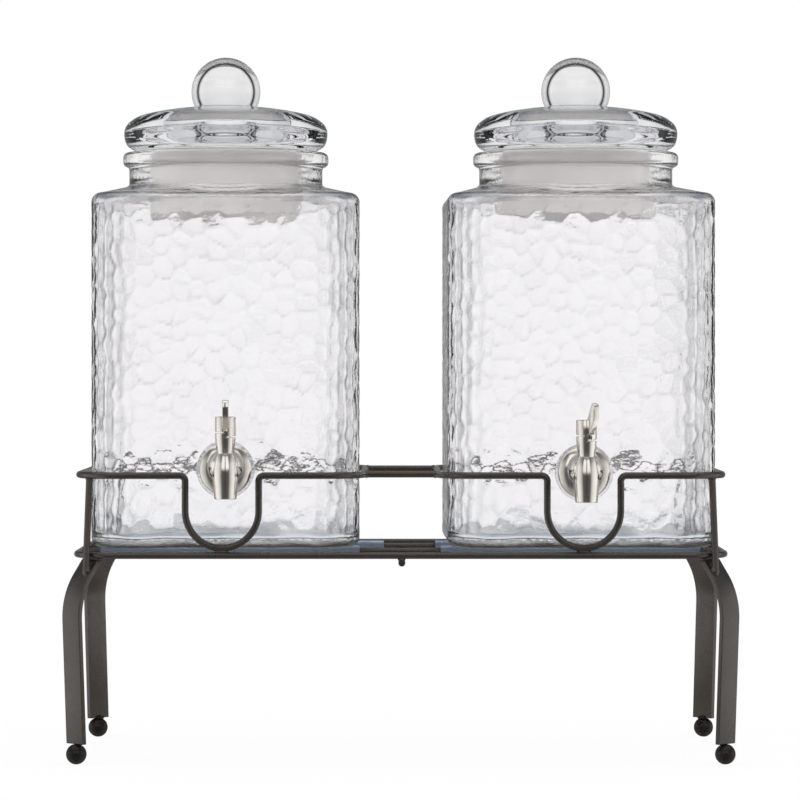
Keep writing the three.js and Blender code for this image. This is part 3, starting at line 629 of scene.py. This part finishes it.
# Jars, from stations: (half width, corner radius, height, relief). Relief goes from 0, plain, to 1, in full,
# and is -1 on the inside.
AROUND = 432
RELIEF_ROWS, RELIEF_FADE_LOW, RELIEF_FADE_HIGH = 126, 0.006, 0.003
UNDERSIDE = [
    (0.0, 0.0, 0.0012, 0.0), (0.03, 0.03, 0.0012, 0.0), (0.058, 0.02, 0.001, 0.0), (0.066, 0.018, 0.0, 0.0),
]
OUTER_ROOF = [i / 8 for i in range(1, 8)]
INNER_ROOF = [1 - i / 6 for i in range(1, 6)]
INNER_ROWS = [0.196, 0.176, 0.156, 0.136, 0.116, 0.096, *(0.076 - 0.004 * i for i in range(17))]
FLOOR_ROWS, FLOOR_CORNER = (0.064, 0.055, 0.046, 0.037, 0.028, 0.019, 0.01), 0.02


def outline_point(share, half, corner):
    """Point of a rounded square at a share of its way round, with its outward direction."""
    straight = 2 * (half - corner)
    bend = math.pi * corner / 2
    s = (share % 1.0) * 4
    side = int(s)
    along = (s - side) * (straight + bend)
    if along < straight:
        point, out = Vector((half, along - straight / 2)), Vector((1, 0))
    else:
        angle = (along - straight) / corner if corner else 0
        out = Vector((math.cos(angle), math.sin(angle)))
        point = Vector((half - corner, half - corner)) + out * corner
    turn = Matrix.Rotation(side * QUARTER, 2)
    return turn @ point, turn @ out


def edge_arc(half, corner, z, radius, start, end, steps, relief=0.0):
    """Stations round an edge between a wall and a flat."""
    curve = arc((half - radius, z), (radius, radius), start, end, steps)
    return [(across, corner - (half - across), height, relief) for across, height in curve]


def roof(half, corner, opening, top, shares):
    """Stations on the roof, by their share of the way from the shoulder to the round opening."""
    out = []
    for t in shares:
        wide = (half - SHOULDER) * (1 - t) + opening * t
        bend = (corner - SHOULDER) * (1 - t) + opening * t
        out.append((wide, min(bend, wide), top - NECK_RISE * (1 - t), 0.0))
    return out


def jar_outside():
    """Stations from the middle of the underside up to the neck."""
    top = SHOULDER_Z - SHOULDER
    out = [*UNDERSIDE, *edge_arc(JAR_HALF, JAR_CORNER, HEEL, HEEL, -QUARTER, 0, steps=8)]
    for i in range(1, RELIEF_ROWS):
        z = HEEL + (top - HEEL) * i / RELIEF_ROWS
        fade = min(1.0, (z - HEEL) / RELIEF_FADE_LOW, (top - z) / RELIEF_FADE_HIGH)
        out.append((JAR_HALF, JAR_CORNER, z, max(0.0, fade)))
    out += edge_arc(JAR_HALF, JAR_CORNER, top, SHOULDER, 0, QUARTER - ROOF_FALL, steps=7)
    return out + roof(JAR_HALF, JAR_CORNER, NECK, NECK_BASE, OUTER_ROOF)


def jar_neck():
    """Stations up the neck, over its flange and down its bore."""
    edge = (FLANGE_ROUND, FLANGE_ROUND)
    profile = [
        (NECK + NECK_FOOT, NECK_BASE + NECK_FOOT_UP),
        *arc((NECK + NECK_FILLET, NECK_BASE + NECK_FILLET_UP), (NECK_FILLET, NECK_FILLET),
             NECK_FILLET_START, -math.pi, steps=3),
        (NECK, NECK_BASE + NECK_START), (NECK, FLANGE_LOW - NECK_END),
        *arc((FLANGE - FLANGE_ROUND, FLANGE_LOW + FLANGE_ROUND), edge, -QUARTER, 0, steps=6),
        *arc((FLANGE - FLANGE_ROUND, FLANGE_TOP - FLANGE_ROUND), edge, 0, QUARTER, steps=6),
        *arc((BORE + BORE_ROUND, FLANGE_TOP - BORE_ROUND), (BORE_ROUND, BORE_ROUND),
             QUARTER, 2 * QUARTER, steps=4),
        (BORE, NECK_BASE + BORE_UP), (BORE, NECK_BASE - BORE_DOWN),
    ]
    return [(radius, radius, z, 0.0) for radius, z in profile]


def jar_inside():
    """Stations from the bore down to the middle of the floor."""
    half, corner = JAR_HALF - JAR_WALL, JAR_CORNER - JAR_WALL
    return [
        *roof(half, corner, BORE, NECK_BASE - JAR_ROOF, INNER_ROOF),
        *edge_arc(half, corner, SHOULDER_Z - JAR_ROOF - SHOULDER, SHOULDER, QUARTER - ROOF_FALL, 0, steps=5),
        *((half, corner, z, -1.0) for z in INNER_ROWS),
        *edge_arc(half, corner, JAR_FLOOR + INNER_HEEL, INNER_HEEL, 0, -QUARTER, steps=6, relief=-1.0),
        *((wide, min(wide, FLOOR_CORNER), JAR_FLOOR, -1.0) for wide in FLOOR_ROWS),
        (0.0, 0.0, JAR_FLOOR, 0.0),
    ]


# Pebbles of the hammered glass: sizes in metres, and the rest in pebbles
FACE_COLUMNS, CORNER_COLUMNS = 10, 6
PEBBLE_COLUMNS, PEBBLE_ROWS = 4 * (FACE_COLUMNS + CORNER_COLUMNS), 24
PEBBLE_HEIGHT = 0.0116
DRIFT, DRIFT_GRAIN, LIFT_SEED = 0.4, 38, Vector((7, 0, 0))
SWAY, RISE, STAGGER = 0.3, 0.36, 0.25
CORNER_DRIFT, CORNER_SWAY = 0.5, 0.6  # how much less the columns wander at the corners
LINE_WIDTH, CORNER_LINE = 0.2, 0.08
RELIEF, CORNER_RELIEF = 0.0006, 0.7
DOME_SHARE, DOME_FULL, LINE_SHARE = 0.55, 1.5, 0.45
# How strongly the painted shade shows on the lines between pebbles: patchy, stronger at the corners, and
# stronger on each pebble's lower side
STRENGTH, STRENGTH_SWING, CORNER_STRENGTH, STRENGTH_GRAIN = 0.5, 1.5, 0.5, 55
STRENGTH_SEED = Vector((0, 3, 0))
CRESCENT, CRESCENT_POWER, CORNER_CRESCENT = 0.12, 1.5, 1.5
CALM, CALM_FADE = 0.0185, 0.004  # smooth round the tap's disc
# Painted shade: the dark band on the shoulder.
BAND, BAND_FADE, BAND_HALF = 0.0022, 0.0006, 0.0772  # dark band on the shoulder
BAND_START, BAND_GROW = 0.034, 0.02
SKIN, SKIN_GRAIN = 0.0002, 60
POOL_Z, POOL_WAVE, POOL_SINK, POOL_GRAIN = 0.013, 0.0007, 0.0003, 55
SPOT, SPOT_SWING, SPOT_GRAIN, SPOT_SEED = 0.35, 1.9, 42, Vector((2, 0, 0))


def share_of(value):
    return min(1.0, max(0.0, value))


def pebble_beds(seed):
    """How far the middle of each pebble lies from its place in the columns round the jar."""
    draw = random.Random(seed)
    return [
        [(draw.uniform(-1, 1), draw.uniform(-1, 1)) for _ in range(PEBBLE_ROWS)]
        for _ in range(PEBBLE_COLUMNS)
    ]


def columns_before(share):
    """How many columns of pebbles lie before a share of the way round: they crowd at the corners."""
    face = 2 * (JAR_HALF - JAR_CORNER)
    turning = face / (face + math.pi * JAR_CORNER / 2)
    side = math.floor(share * 4)
    along = share * 4 - side
    before = side * (FACE_COLUMNS + CORNER_COLUMNS)
    if along < turning:
        return before + along / turning * FACE_COLUMNS
    return before + FACE_COLUMNS + (along - turning) / (1 - turning) * CORNER_COLUMNS


def pebble(share, place, beds, bend):
    """Distances to the nearest pebble's middle and the next one's, whether they stand side by side, and how
    far under its middle the place lies."""
    drift = noise.noise(place * DRIFT_GRAIN)
    lift = noise.noise(place * DRIFT_GRAIN + LIFT_SEED)
    across = columns_before(share) + DRIFT * drift * (1 - CORNER_DRIFT * bend)
    up = place.z / PEBBLE_HEIGHT + DRIFT * lift + 1
    column, row = math.floor(across), math.floor(up)
    near, next_near = math.inf, math.inf
    home, neighbour, under = column, column, 0.0
    for i in (column - 1, column, column + 1):
        for j in (row - 1, row, row + 1):
            sway, rise = beds[i % PEBBLE_COLUMNS][j % PEBBLE_ROWS]
            above = j + 0.5 + RISE * rise + STAGGER * (1 if i % 2 else -1) - up
            away = math.hypot(across - i - 0.5 - SWAY * sway * (1 - CORNER_SWAY * bend), above)
            if away < near:
                near, next_near, home, neighbour = away, near, i, home
                under = above / max(away, 0.01)
            elif away < next_near:
                next_near, neighbour = away, i
    return near, next_near, home != neighbour, under


def relief_at(share, place, out, beds, full):
    """How deep the outside is pressed at a place, and how strongly the painted shade on the line there shows:
    darker on each pebble's lower side and at the corners.
    """
    bend = 2 * abs(out.x * out.y)
    near, next_near, side_by_side, under = pebble(share, place, beds, bend)
    line = math.exp(-((next_near - near) / (LINE_WIDTH + CORNER_LINE * bend)) ** 2)
    if not side_by_side:
        line *= 1 - CORNER_RELIEF * bend
    depth = RELIEF * (1 + CORNER_RELIEF * bend) * full
    depth *= DOME_SHARE * min(1.0, DOME_FULL * near ** 2) + LINE_SHARE * line
    patch = noise.noise(place * STRENGTH_GRAIN + STRENGTH_SEED)
    strength = STRENGTH + STRENGTH_SWING * patch + CORNER_STRENGTH * bend
    crescent = CRESCENT + (1 - CRESCENT) * max(0.0, under) ** CRESCENT_POWER
    crescent += (1 - crescent) * min(1.0, CORNER_CRESCENT * bend)
    return depth, line * crescent * full * share_of(strength)


def jar(side, facts):
    """One closed skin, bent from a grid: pebbles outside, nearly smooth inside, thicker round the tap."""
    outside = jar_outside()
    stations = [*outside, *jar_neck(), *jar_inside()]
    rows = len(stations) - 1
    bm = bmesh.new()
    bmesh.ops.create_grid(bm, x_segments=AROUND, y_segments=rows, size=0.5)
    groove_shade, jar_floor_shade, shoulder = (bm.verts.layers.float.new(name) for name in ("groove_shade", "jar_floor_shade", "shoulder"))
    beds = pebble_beds(facts["seed"])
    for v in bm.verts:
        share, row = v.co.x + 0.5, round((v.co.y + 0.5) * rows)
        half, corner, z, relief = stations[row]
        flat, out = outline_point(share, half, corner)
        place, outward = Vector((flat.x, flat.y, z)), Vector((out.x, out.y, 0))
        from_tap = math.hypot(flat.x, z - facts["tap"]) if flat.y < 0 else math.inf
        if relief > 0:
            full = relief * share_of((from_tap - CALM) / CALM_FADE)
            # The outside is pressed in, and the lines between pebbles get their painted shade.
            depth, v[groove_shade] = relief_at(share, place, out, beds, full)
            place -= outward * depth
        # Painted shade: a dark band along the top of the shoulder, towards the corners.
        elif row < len(outside) and half > BAND_HALF and z > SHOULDER_Z - BAND:
            wide = share_of((min(abs(flat.x), abs(flat.y)) - BAND_START) / BAND_GROW)
            v[shoulder] = wide * min(1.0, (z - SHOULDER_Z + BAND) / BAND_FADE)
        elif relief < 0:
            place += outward * (SKIN * noise.noise(place * SKIN_GRAIN))
            rise = share_of((BOSS_REACH - from_tap) / BOSS_FADE)
            place.y += TAP_BOSS * rise * rise * (3 - 2 * rise)
            # The inside floor is made wavy, and dark spots of painted shade are marked on it.
            if z < POOL_Z:
                place.z += POOL_WAVE * noise.noise(place * POOL_GRAIN) - POOL_SINK
                v[jar_floor_shade] = share_of(SPOT + SPOT_SWING * noise.noise(place * SPOT_GRAIN + SPOT_SEED))
        v.co = place
    bmesh.ops.remove_doubles(bm, verts=bm.verts, dist=1e-6)
    bmesh.ops.recalc_face_normals(bm, faces=bm.faces)
    moved(bm, Matrix.Translation((facts["x"], MIDDLE_Y, JAR_BASE)) @ Matrix.Rotation(facts["turn"], 4, "Z"))
    piece(side + "_jar_glass", bm, "hammered_glass", side + "_jar", "clear_glass", side + "_jar", sharp=0)


# Lids: (radius, height) pairs in millimetres, and the knob in metres
LID_HOLLOW = [
    (0, 383), (7, 383.2), (11, 385), (13.5, 388.5), (17, 390.8), (30, 391), (35.5, 390), (38.6, 387.5),
    (39.8, 384), (39.8, 375),
]
LID_PLUG = [(39.8, 356), (40.8, 354.9), (43.8, 354.9), (44.8, 356), (44.8, 374.9)]
LID_DOME = [
    (57.2, 374.9), (60.6, 376.8), (62.7, 380.0), (63.5, 384.8), (62.9, 388.6), (60.3, 392.3), (54.4, 396.0),
    (44.9, 398.6), (33.7, 400.5), (24.0, 401.6), (20.4, 402.1),
]
LINER = [
    (45.2, 335.2), (45.7, 335.2), (46.8, 335.2), (47.2, 335.6), (47.2, 373.7), (56.6, 373.7), (57, 374),
    (57, 374.3), (56.6, 374.6), (45.2, 374.6), (45.2, 335.2),
]
KNOB, KNOB_Z, KNOB_FOOT_Z, KNOB_STEPS = 0.0215, 0.4116, 0.4025, 26


def metres(points):
    return [(radius / 1000, z / 1000) for radius, z in points]


def lid_glass(side, x):
    """The lid in one closed skin: hollow plug, dome and ball knob."""
    foot = -math.asin((KNOB_Z - KNOB_FOOT_Z) / KNOB)
    profile = [
        *smooth_path(metres(LID_HOLLOW), steps=7), *metres(LID_PLUG),
        *smooth_path(metres(LID_DOME), steps=9),
        *arc((0, KNOB_Z), (KNOB, KNOB), foot, QUARTER, KNOB_STEPS),
    ]
    bm = moved(spun(profile, steps=200), Matrix.Translation((x, MIDDLE_Y, 0)))
    piece(side + "_lid_glass", bm, "smooth_glass", side + "_lid", "clear_glass", side + "_lid", sharp=50)


def lid_liner(side, x):
    """Soft sleeve round the lid's plug, with a thin edge under the lid."""
    bm = moved(spun(metres(LINER), steps=96), Matrix.Translation((x, MIDDLE_Y, 0)))
    piece(side + "_lid_liner", bm, "soft_plastic", side + "_lid", "soft_plastic", side + "_lid_sleeve")


# Taps: lengths from the jar's face forward, and heights from the shank's axis, in metres
TAP_RISE, TAP_REACH = 0.002, 0.024
COLLAR, BARREL, BARREL_START, BARREL_WIDE = 0.0087, 0.0109, 0.0064, 0.0109
BARREL_ROUND, NOSE_START, NOSE, NOSE_STEPS = 0.001, 0.0169, 0.013, 14
SHANK, SHANK_END, SHANK_ROUND, INLET = 0.0078, 0.02, 0.0005, 0.004
SPOUT, SPOUT_MOUTH, SPOUT_DROP, SPOUT_ROUND = 0.0079, 0.0067, 0.0172, 0.0004
CHAMBER, CHAMBER_TOP, STEM_BORE = 0.0052, 0.008, 0.0033
SPOUT_BEND_Z, SPOUT_BEND_RISE = -0.0042, 0.0188
BONNET_FOOT, BONNET_FOOT_Z, BONNET_STEP, BONNET_TOP = 0.0053, 0.0106, 0.0002, 0.0198
STOP_TOP, STOP_OVERLAP, STOP_EDGE = 0.0225, 0.0005, 0.0002
STOP_START, STOP_SWEEP, SKIRT_START = math.radians(136.5), math.radians(132), math.radians(271.5)
SKIRT_GAP, SKIRT_OVERLAP = 0.0008, 0.0003
CAP, CAP_BASE, CAP_TOP, CAP_FOOT, CAP_ROUND, CAP_BULGE = 0.0062, 0.0233, 0.0323, 0.0002, 0.0005, 0.3
SLOT_FLOOR, SLOT_OVERLAP = 0.0043, 0.0001
BLADE, BLADE_EDGE = 0.0039, 0.00045
BLADE_OUTLINE = [
    (0.0033, 0.0315), (0.0040, 0.0236), (0.0048, 0.0236), (0.0075, 0.0268), (0.0100, 0.0299),
    (0.0112, 0.0326), (0.0115, 0.0401), (0.0107, 0.0417), (0.0091, 0.0425), (0.0062, 0.0372),
]
DISC_START, DISC_BORE, DISC_RIM, DISC_RIM_HEIGHT, DISC_HEIGHT = 0.0021, 0.0081, 0.0159, 0.0011, 0.004
DISC_CROWN = [
    (0.0154, 0.0012), (0.0147, 0.0017), (0.0134, 0.0024), (0.012, 0.003), (0.0104, 0.0035),
    (COLLAR, DISC_HEIGHT),
]
WASHER_BORE = SHANK + 0.0003
WASHERS = {"clear": (0.0176, 0.0003, 0.0018), "seal": (0.0125, -0.0068, -0.0048)}
NUT_EDGE = 0.0003


def along_shank(bm, rise=0.0):
    """Turns a piece made about +Z so that it points forward along the shank."""
    return moved(bm, Matrix.Translation((0, 0, rise)) @ Matrix.Rotation(QUARTER, 4, "X"))


def at_tap(bm, facts, handle=False):
    """Carries a piece from the tap's own place, on the jar's face, to where the jar has it."""
    place = Matrix.Translation((facts["x"], MIDDLE_Y, JAR_BASE)) @ Matrix.Rotation(facts["turn"], 4, "Z")
    place = place @ Matrix.Translation((0, -JAR_HALF, facts["tap"]))
    if handle:
        place = place @ Matrix.Translation((0, -TAP_REACH, 0)) @ Matrix.Rotation(facts["handle"], 4, "Z")
    return moved(bm, place)


def tap_barrel():
    nose = arc((0, NOSE_START), (BARREL, NOSE), 0, QUARTER, NOSE_STEPS)
    side = rounded([(COLLAR, BARREL_START), (BARREL, BARREL_WIDE), nose[0]], BARREL_ROUND, steps=5)
    return along_shank(spun([(0, BARREL_START), *side, *nose[1:]], steps=56), TAP_RISE)


def tap_shank():
    side = rounded([(INLET, -SHANK_END), (SHANK, -SHANK_END), (SHANK, NOSE_START)], SHANK_ROUND)
    return along_shank(spun([(INLET, -SHANK_END), *side, (INLET, NOSE_START), (INLET, -SHANK_END)], steps=40))


def tap_spout():
    """Spout and bonnet, about the valve's upright axis."""
    bend_end = math.acos((BONNET_FOOT - BONNET_STEP) / SPOUT)
    bend = arc((0, SPOUT_BEND_Z), (SPOUT, SPOUT_BEND_RISE), 0, bend_end, steps=14)
    return spun([
        *rounded([(CHAMBER, -SPOUT_DROP), (SPOUT_MOUTH, -SPOUT_DROP), bend[0]], SPOUT_ROUND), *bend[1:],
        *rounded([(BONNET_FOOT, BONNET_FOOT_Z), (CAP, BONNET_TOP), (STEM_BORE, BONNET_TOP)]),
        (STEM_BORE, CHAMBER_TOP), (CHAMBER, CHAMBER_TOP), (CHAMBER, -SPOUT_DROP),
    ], steps=56)


def tap_stop():
    """Raised part of the bonnet's rim, between whose ends the cap's skirt turns."""
    low = BONNET_TOP - STOP_OVERLAP
    outline = [
        (STEM_BORE, low), (CAP, low), (CAP, STOP_TOP - STOP_EDGE), (CAP - STOP_EDGE, STOP_TOP),
        (STEM_BORE, STOP_TOP),
    ]
    return ring_sector(outline, STOP_START, STOP_SWEEP)


def tap_body():
    forward = Matrix.Translation((0, -TAP_REACH, 0))
    return joined(tap_barrel(), tap_shank(), moved(tap_spout(), forward), moved(tap_stop(), forward))


def handle_cap():
    """Slotted cap round a solid core."""
    half_slot = math.asin(BLADE / 2 / CAP)
    inner, bulge = SLOT_FLOOR - SLOT_OVERLAP, CAP_ROUND * CAP_BULGE
    shell = [
        (inner, CAP_BASE), (CAP - CAP_FOOT, CAP_BASE), (CAP, CAP_BASE + CAP_FOOT), (CAP, CAP_TOP - CAP_ROUND),
        (CAP - bulge, CAP_TOP - bulge), (CAP - CAP_ROUND, CAP_TOP), (inner, CAP_TOP),
    ]
    core_top = CAP_TOP - SLOT_OVERLAP
    core = spun([(0, CAP_BASE), (SLOT_FLOOR, CAP_BASE), (SLOT_FLOOR, core_top), (0, core_top)], steps=40)
    return joined(ring_sector(shell, half_slot - QUARTER, math.tau - 2 * half_slot, steps=56), core)


def handle_skirt():
    low, top = BONNET_TOP + SKIRT_GAP, CAP_BASE + SKIRT_OVERLAP
    outline = [(STEM_BORE, low), (CAP - CAP_FOOT, low), (CAP, low + CAP_FOOT), (CAP, top), (STEM_BORE, top)]
    return ring_sector(outline, SKIRT_START, STOP_SWEEP)


def handle_blade():
    """Lever blade: a flat outline, grown to its width and rounded along its edges."""
    bm = bmesh.new()
    face = bm.faces.new([bm.verts.new((-BLADE / 2, -forward, height)) for forward, height in BLADE_OUTLINE])
    grown = bmesh.ops.extrude_face_region(bm, geom=[face])["geom"]
    bmesh.ops.translate(bm, vec=(BLADE, 0, 0), verts=[v for v in grown if isinstance(v, bmesh.types.BMVert)])
    bmesh.ops.recalc_face_normals(bm, faces=bm.faces)
    hard = [e for e in bm.edges if e.calc_face_angle(0) > math.radians(60)]
    bmesh.ops.bevel(bm, geom=hard, offset=BLADE_EDGE, segments=4, profile=0.5, affect="EDGES", material=-1)
    return bm


def escutcheon():
    """Dished disc with a rolled rim."""
    crown = smooth_path(DISC_CROWN, steps=4)
    face = [
        (DISC_BORE, 0.0),
        *rounded([(DISC_BORE, 0.0), (DISC_RIM, 0.0), (DISC_RIM, DISC_RIM_HEIGHT), crown[0]]), *crown[1:],
        (DISC_BORE, DISC_HEIGHT), (DISC_BORE, 0.0),
    ]
    return along_shank(spun([(radius, DISC_START + height) for radius, height in face], steps=72))


def washer(kind):
    outer, start, end = WASHERS[kind]
    bore = WASHER_BORE
    outline = rounded([(bore, start), (outer, start), (outer, end), (bore, end), (bore, start)])
    return along_shank(spun(outline, steps=56))


def tap(side, facts):
    jar_body, handle_body = side + "_jar", side + "_tap_handle"
    handle = joined(handle_cap(), handle_skirt(), handle_blade())
    for node, bm in ((side + "_tap_body", tap_body()), (side + "_escutcheon", escutcheon())):
        piece(node + "_turned", at_tap(bm, facts), "polished_steel", jar_body, "polished_steel", node)
    for kind, node in (("clear", "outer_washer"), ("seal", "inner_washer")):
        piece(f"{side}_{kind}_washer", at_tap(washer(kind), facts), "silicone_rubber", jar_body,
              "silicone_rubber", f"{side}_{node}")
    piece(side + "_handle_turned", at_tap(handle, facts, handle=True), "polished_steel", handle_body,
          "polished_steel", side + "_handle")
    for name, edge, body, finish in (
        ("shank_nut", NUT_EDGE, jar_body, "polished_steel"),
        ("handle_pin", 0.0, handle_body, "polished_steel"),
        ("valve_stem", 0.0, handle_body, "polished_steel"),
        ("stem_ring", 0.0, handle_body, "silicone_rubber"),
    ):
        node = f"{side}_{name}"
        piece(node + "_made", eased_copy(node, edge), finish, body, finish, node)


base_ring()
for name, facts in SIDES.items():
    jar_loop(name, facts["x"])
for name, sign in (("front", -1), ("rear", 1)):
    link_bar(name, sign)
    support_rod(name, sign)
cross_brace()
for name, (sx, sy) in CORNERS.items():
    leg_bar(name)
    ball_foot(name, sx, sy)
    post(name, sx, sy)
    rod_sleeve(name)
for name, facts in SIDES.items():
    jar(name, facts)
    lid_glass(name, facts["x"])
    lid_liner(name, facts["x"])
    tap(name, facts)


# Floor: its radius, the reach from shadowed paper to plain white, and the reach over which metal mirrors it
# as a dim warm glow, a painted shadow of the floor under the stand
FLOOR, WHITE = 2.2, (1, 1, 1, 1)
PAPER, PAPER_ROUGHNESS = (0.8, 0.8, 0.8, 1), 0.9
SHADOW_START, SHADOW_END, SHADOW_WHITE = 0.3, 1.0, 0.92
MIRROR_START, MIRROR_END, MIRRORED_SHADOW_COLOUR, MIRRORED_SHADOW_GLOW = 0.1, 0.35, (0.62, 0.57, 0.50, 1), 0.6

# World, by bearing or by height from the horizon (0) to straight up (1)
EYE_LIGHT, PLAIN_LIGHT = 1.0, 0.7
GLASS_WAVES, GLASS_BANDS = 8.0, [(0.0, 0.93), (0.1, 0.95), (0.4, 0.97), (0.7, 0.98), (1.0, 1.0)]
GLASS_RISE = [(0.0, 1.0), (0.05, 0.97), (0.12, 0.93), (0.34, 0.88), (0.5, 0.82), (0.72, 0.76), (0.9, 0.86)]
WALLS = [
    (0.0, 0.32), (0.3, 0.25), (0.38, 0.9), (0.5, 1.0), (0.66, 0.8), (0.76, 0.45), (0.82, 0.12), (1.0, 0.06),
]
WALLS_RISE = [(0.0, 1.0), (0.3, 0.9), (0.5, 0.35), (0.68, 0.25)]
CEILING = [(0.66, 0.0), (0.84, 0.95)]
GROUND_START, GROUND_END, GROUND = -0.2, -0.8, 0.3
LAMPS = [(0.76, 0.0), (0.82, 1.0), (0.972, 1.0), (0.985, 0.15), (1.0, 0.15)]
LAMPS_RISE = [(0.14, 0.0), (0.24, 1.0), (0.62, 1.0), (0.7, 0.0)]

# Softboxes: place, what it faces, width and height, and watts
SOFTBOXES = {
    "left_softbox": ((-1.6, -1.1, 1.3), (0, 0, 0.25), (0.9, 1.4), 21),
    "right_softbox": ((1.7, -0.7, 1.1), (0, 0, 0.25), (0.8, 1.3), 17),
    "top_softbox": ((0.0, 0.5, 2.1), (0, 0, 0.2), (1.4, 1.0), 14),
}


def floor_paper():
    """White to the eye and through glass, with the object's shadow near it. Metal sees it near the object as
    a dim warm glow, a painted shadow of the floor under the stand, and further away sees the room."""
    paper = Finish("floor_paper")
    paper.shade(Base_Color=PAPER, Roughness=PAPER_ROUGHNESS)
    length = paper.node("ShaderNodeVectorMath", operation="LENGTH")
    paper.link(paper.place(), length.inputs[0])
    reach = length.outputs["Value"]
    seen = paper.calc("MAXIMUM", paper.path("Camera"), paper.path("Transmission"))
    white = paper.calc("MULTIPLY", seen, paper.between(reach, SHADOW_START, SHADOW_END, SHADOW_WHITE, 1.0))
    plain = paper.blend(white, paper.shader.outputs["BSDF"], paper.glow(WHITE, EYE_LIGHT))
    gap = paper.node("ShaderNodeBsdfTransparent").outputs["BSDF"]
    mirrored = paper.blend(
        paper.between(reach, MIRROR_START, MIRROR_END), paper.glow(MIRRORED_SHADOW_COLOUR, MIRRORED_SHADOW_GLOW), gap)
    metal = paper.calc("SUBTRACT", paper.path("Glossy"), paper.path("Transmission"), use_clamp=True)
    paper.link(paper.blend(metal, plain, mirrored), paper.surface)
    return paper.material


def floor():
    bm = bmesh.new()
    bmesh.ops.create_circle(bm, cap_ends=True, segments=96, radius=FLOOR)
    mesh = bpy.data.meshes.new("floor")
    bm.to_mesh(mesh)
    bm.free()
    mesh.materials.append(floor_paper())
    made = bpy.data.objects.new("floor", mesh)
    bpy.context.scene.collection.objects.link(made)


def seen_through_glass(room, bearing, height):
    """White straight ahead, softly darker above and in bands to the sides."""
    wave = room.calc("COSINE", room.calc("MULTIPLY", bearing, GLASS_WAVES))
    bands = room.ramp(room.between(wave, -1.0, 1.0), GLASS_BANDS)
    return room.calc("MULTIPLY", bands, room.ramp(height, GLASS_RISE))


def mirrored_in_metal(room, bearing, height):
    """Bright walls on both sides, a dark one behind the camera with two panels of light high on it, and a
    bright ceiling."""
    turn = room.between(room.calc("ABSOLUTE", bearing), 0.0, math.pi)
    shown = room.calc("MULTIPLY", room.ramp(turn, WALLS), room.ramp(height, WALLS_RISE))
    ground = room.between(height, GROUND_START, GROUND_END, 0.0, GROUND)
    lamps = room.calc("MULTIPLY", room.ramp(turn, LAMPS), room.ramp(height, LAMPS_RISE))
    for other in (room.ramp(height, CEILING), ground, lamps):
        shown = room.calc("MAXIMUM", shown, other)
    return shown


def studio():
    """White room: each kind of ray sees its own version of it."""
    world = bpy.data.worlds.new("studio")
    bpy.context.scene.world = world
    world.use_nodes = True
    room = Nodes(world.node_tree)
    place = room.node("ShaderNodeSeparateXYZ")
    room.link(room.node("ShaderNodeTexCoord").outputs["Generated"], place.inputs["Vector"])
    x, y, height = place.outputs
    bearing = room.calc("ARCTAN2", x, y)

    def backdrop(brightness, strength=None):
        made = room.node("ShaderNodeBackground")
        room.set(made, Color=(brightness, brightness, brightness, 1))
        if strength:
            room.link(strength, made.inputs["Strength"])
        return made.outputs["Background"]

    shown = backdrop(PLAIN_LIGHT)
    for kind, strength in (
        ("Glossy", mirrored_in_metal(room, bearing, height)),
        ("Transmission", seen_through_glass(room, bearing, height)),
        ("Camera", None),
    ):
        shown = room.blend(room.path(kind), shown, backdrop(EYE_LIGHT, strength))
    room.link(shown, room.node("ShaderNodeOutputWorld").inputs["Surface"])


def softbox(name, place, target, size, watts):
    """Rectangular lamp that shows neither in metal nor through glass."""
    light = bpy.data.lights.new(name, "AREA")
    light.shape = "RECTANGLE"
    light.size, light.size_y = size
    light.energy = watts
    made = bpy.data.objects.new(name, light)
    bpy.context.scene.collection.objects.link(made)
    made.visible_transmission = False
    made.visible_glossy = False
    made.location = place
    made.rotation_euler = (Vector(target) - Vector(place)).to_track_quat("-Z", "Y").to_euler()


floor()
studio()
for name, facts in SOFTBOXES.items():
    softbox(name, *facts)


# Camera: a long lens, level, with the horizon a little above the middle of the picture
LENS, SENSOR, FAR = 180.0, 36.0, 100.0  # the first two in millimetres
PICTURE, HORIZON = 800, 351.3  # pixels
CAMERA_X, CAMERA_BACK, CAMERA_Z = -0.0005, 2.503, 0.2494

view = bpy.data.cameras.new("camera")
view.lens = LENS
view.sensor_width = SENSOR
view.shift_y = -(PICTURE / 2 - HORIZON) / PICTURE
view.clip_end = FAR
camera = bpy.data.objects.new("camera", view)
bpy.context.scene.collection.objects.link(camera)
camera.location = (CAMERA_X, MIDDLE_Y - CAMERA_BACK, CAMERA_Z)
camera.rotation_euler = (QUARTER, 0, 0)
bpy.context.scene.camera = camera
bpy.context.scene.view_settings.view_transform = "Standard"
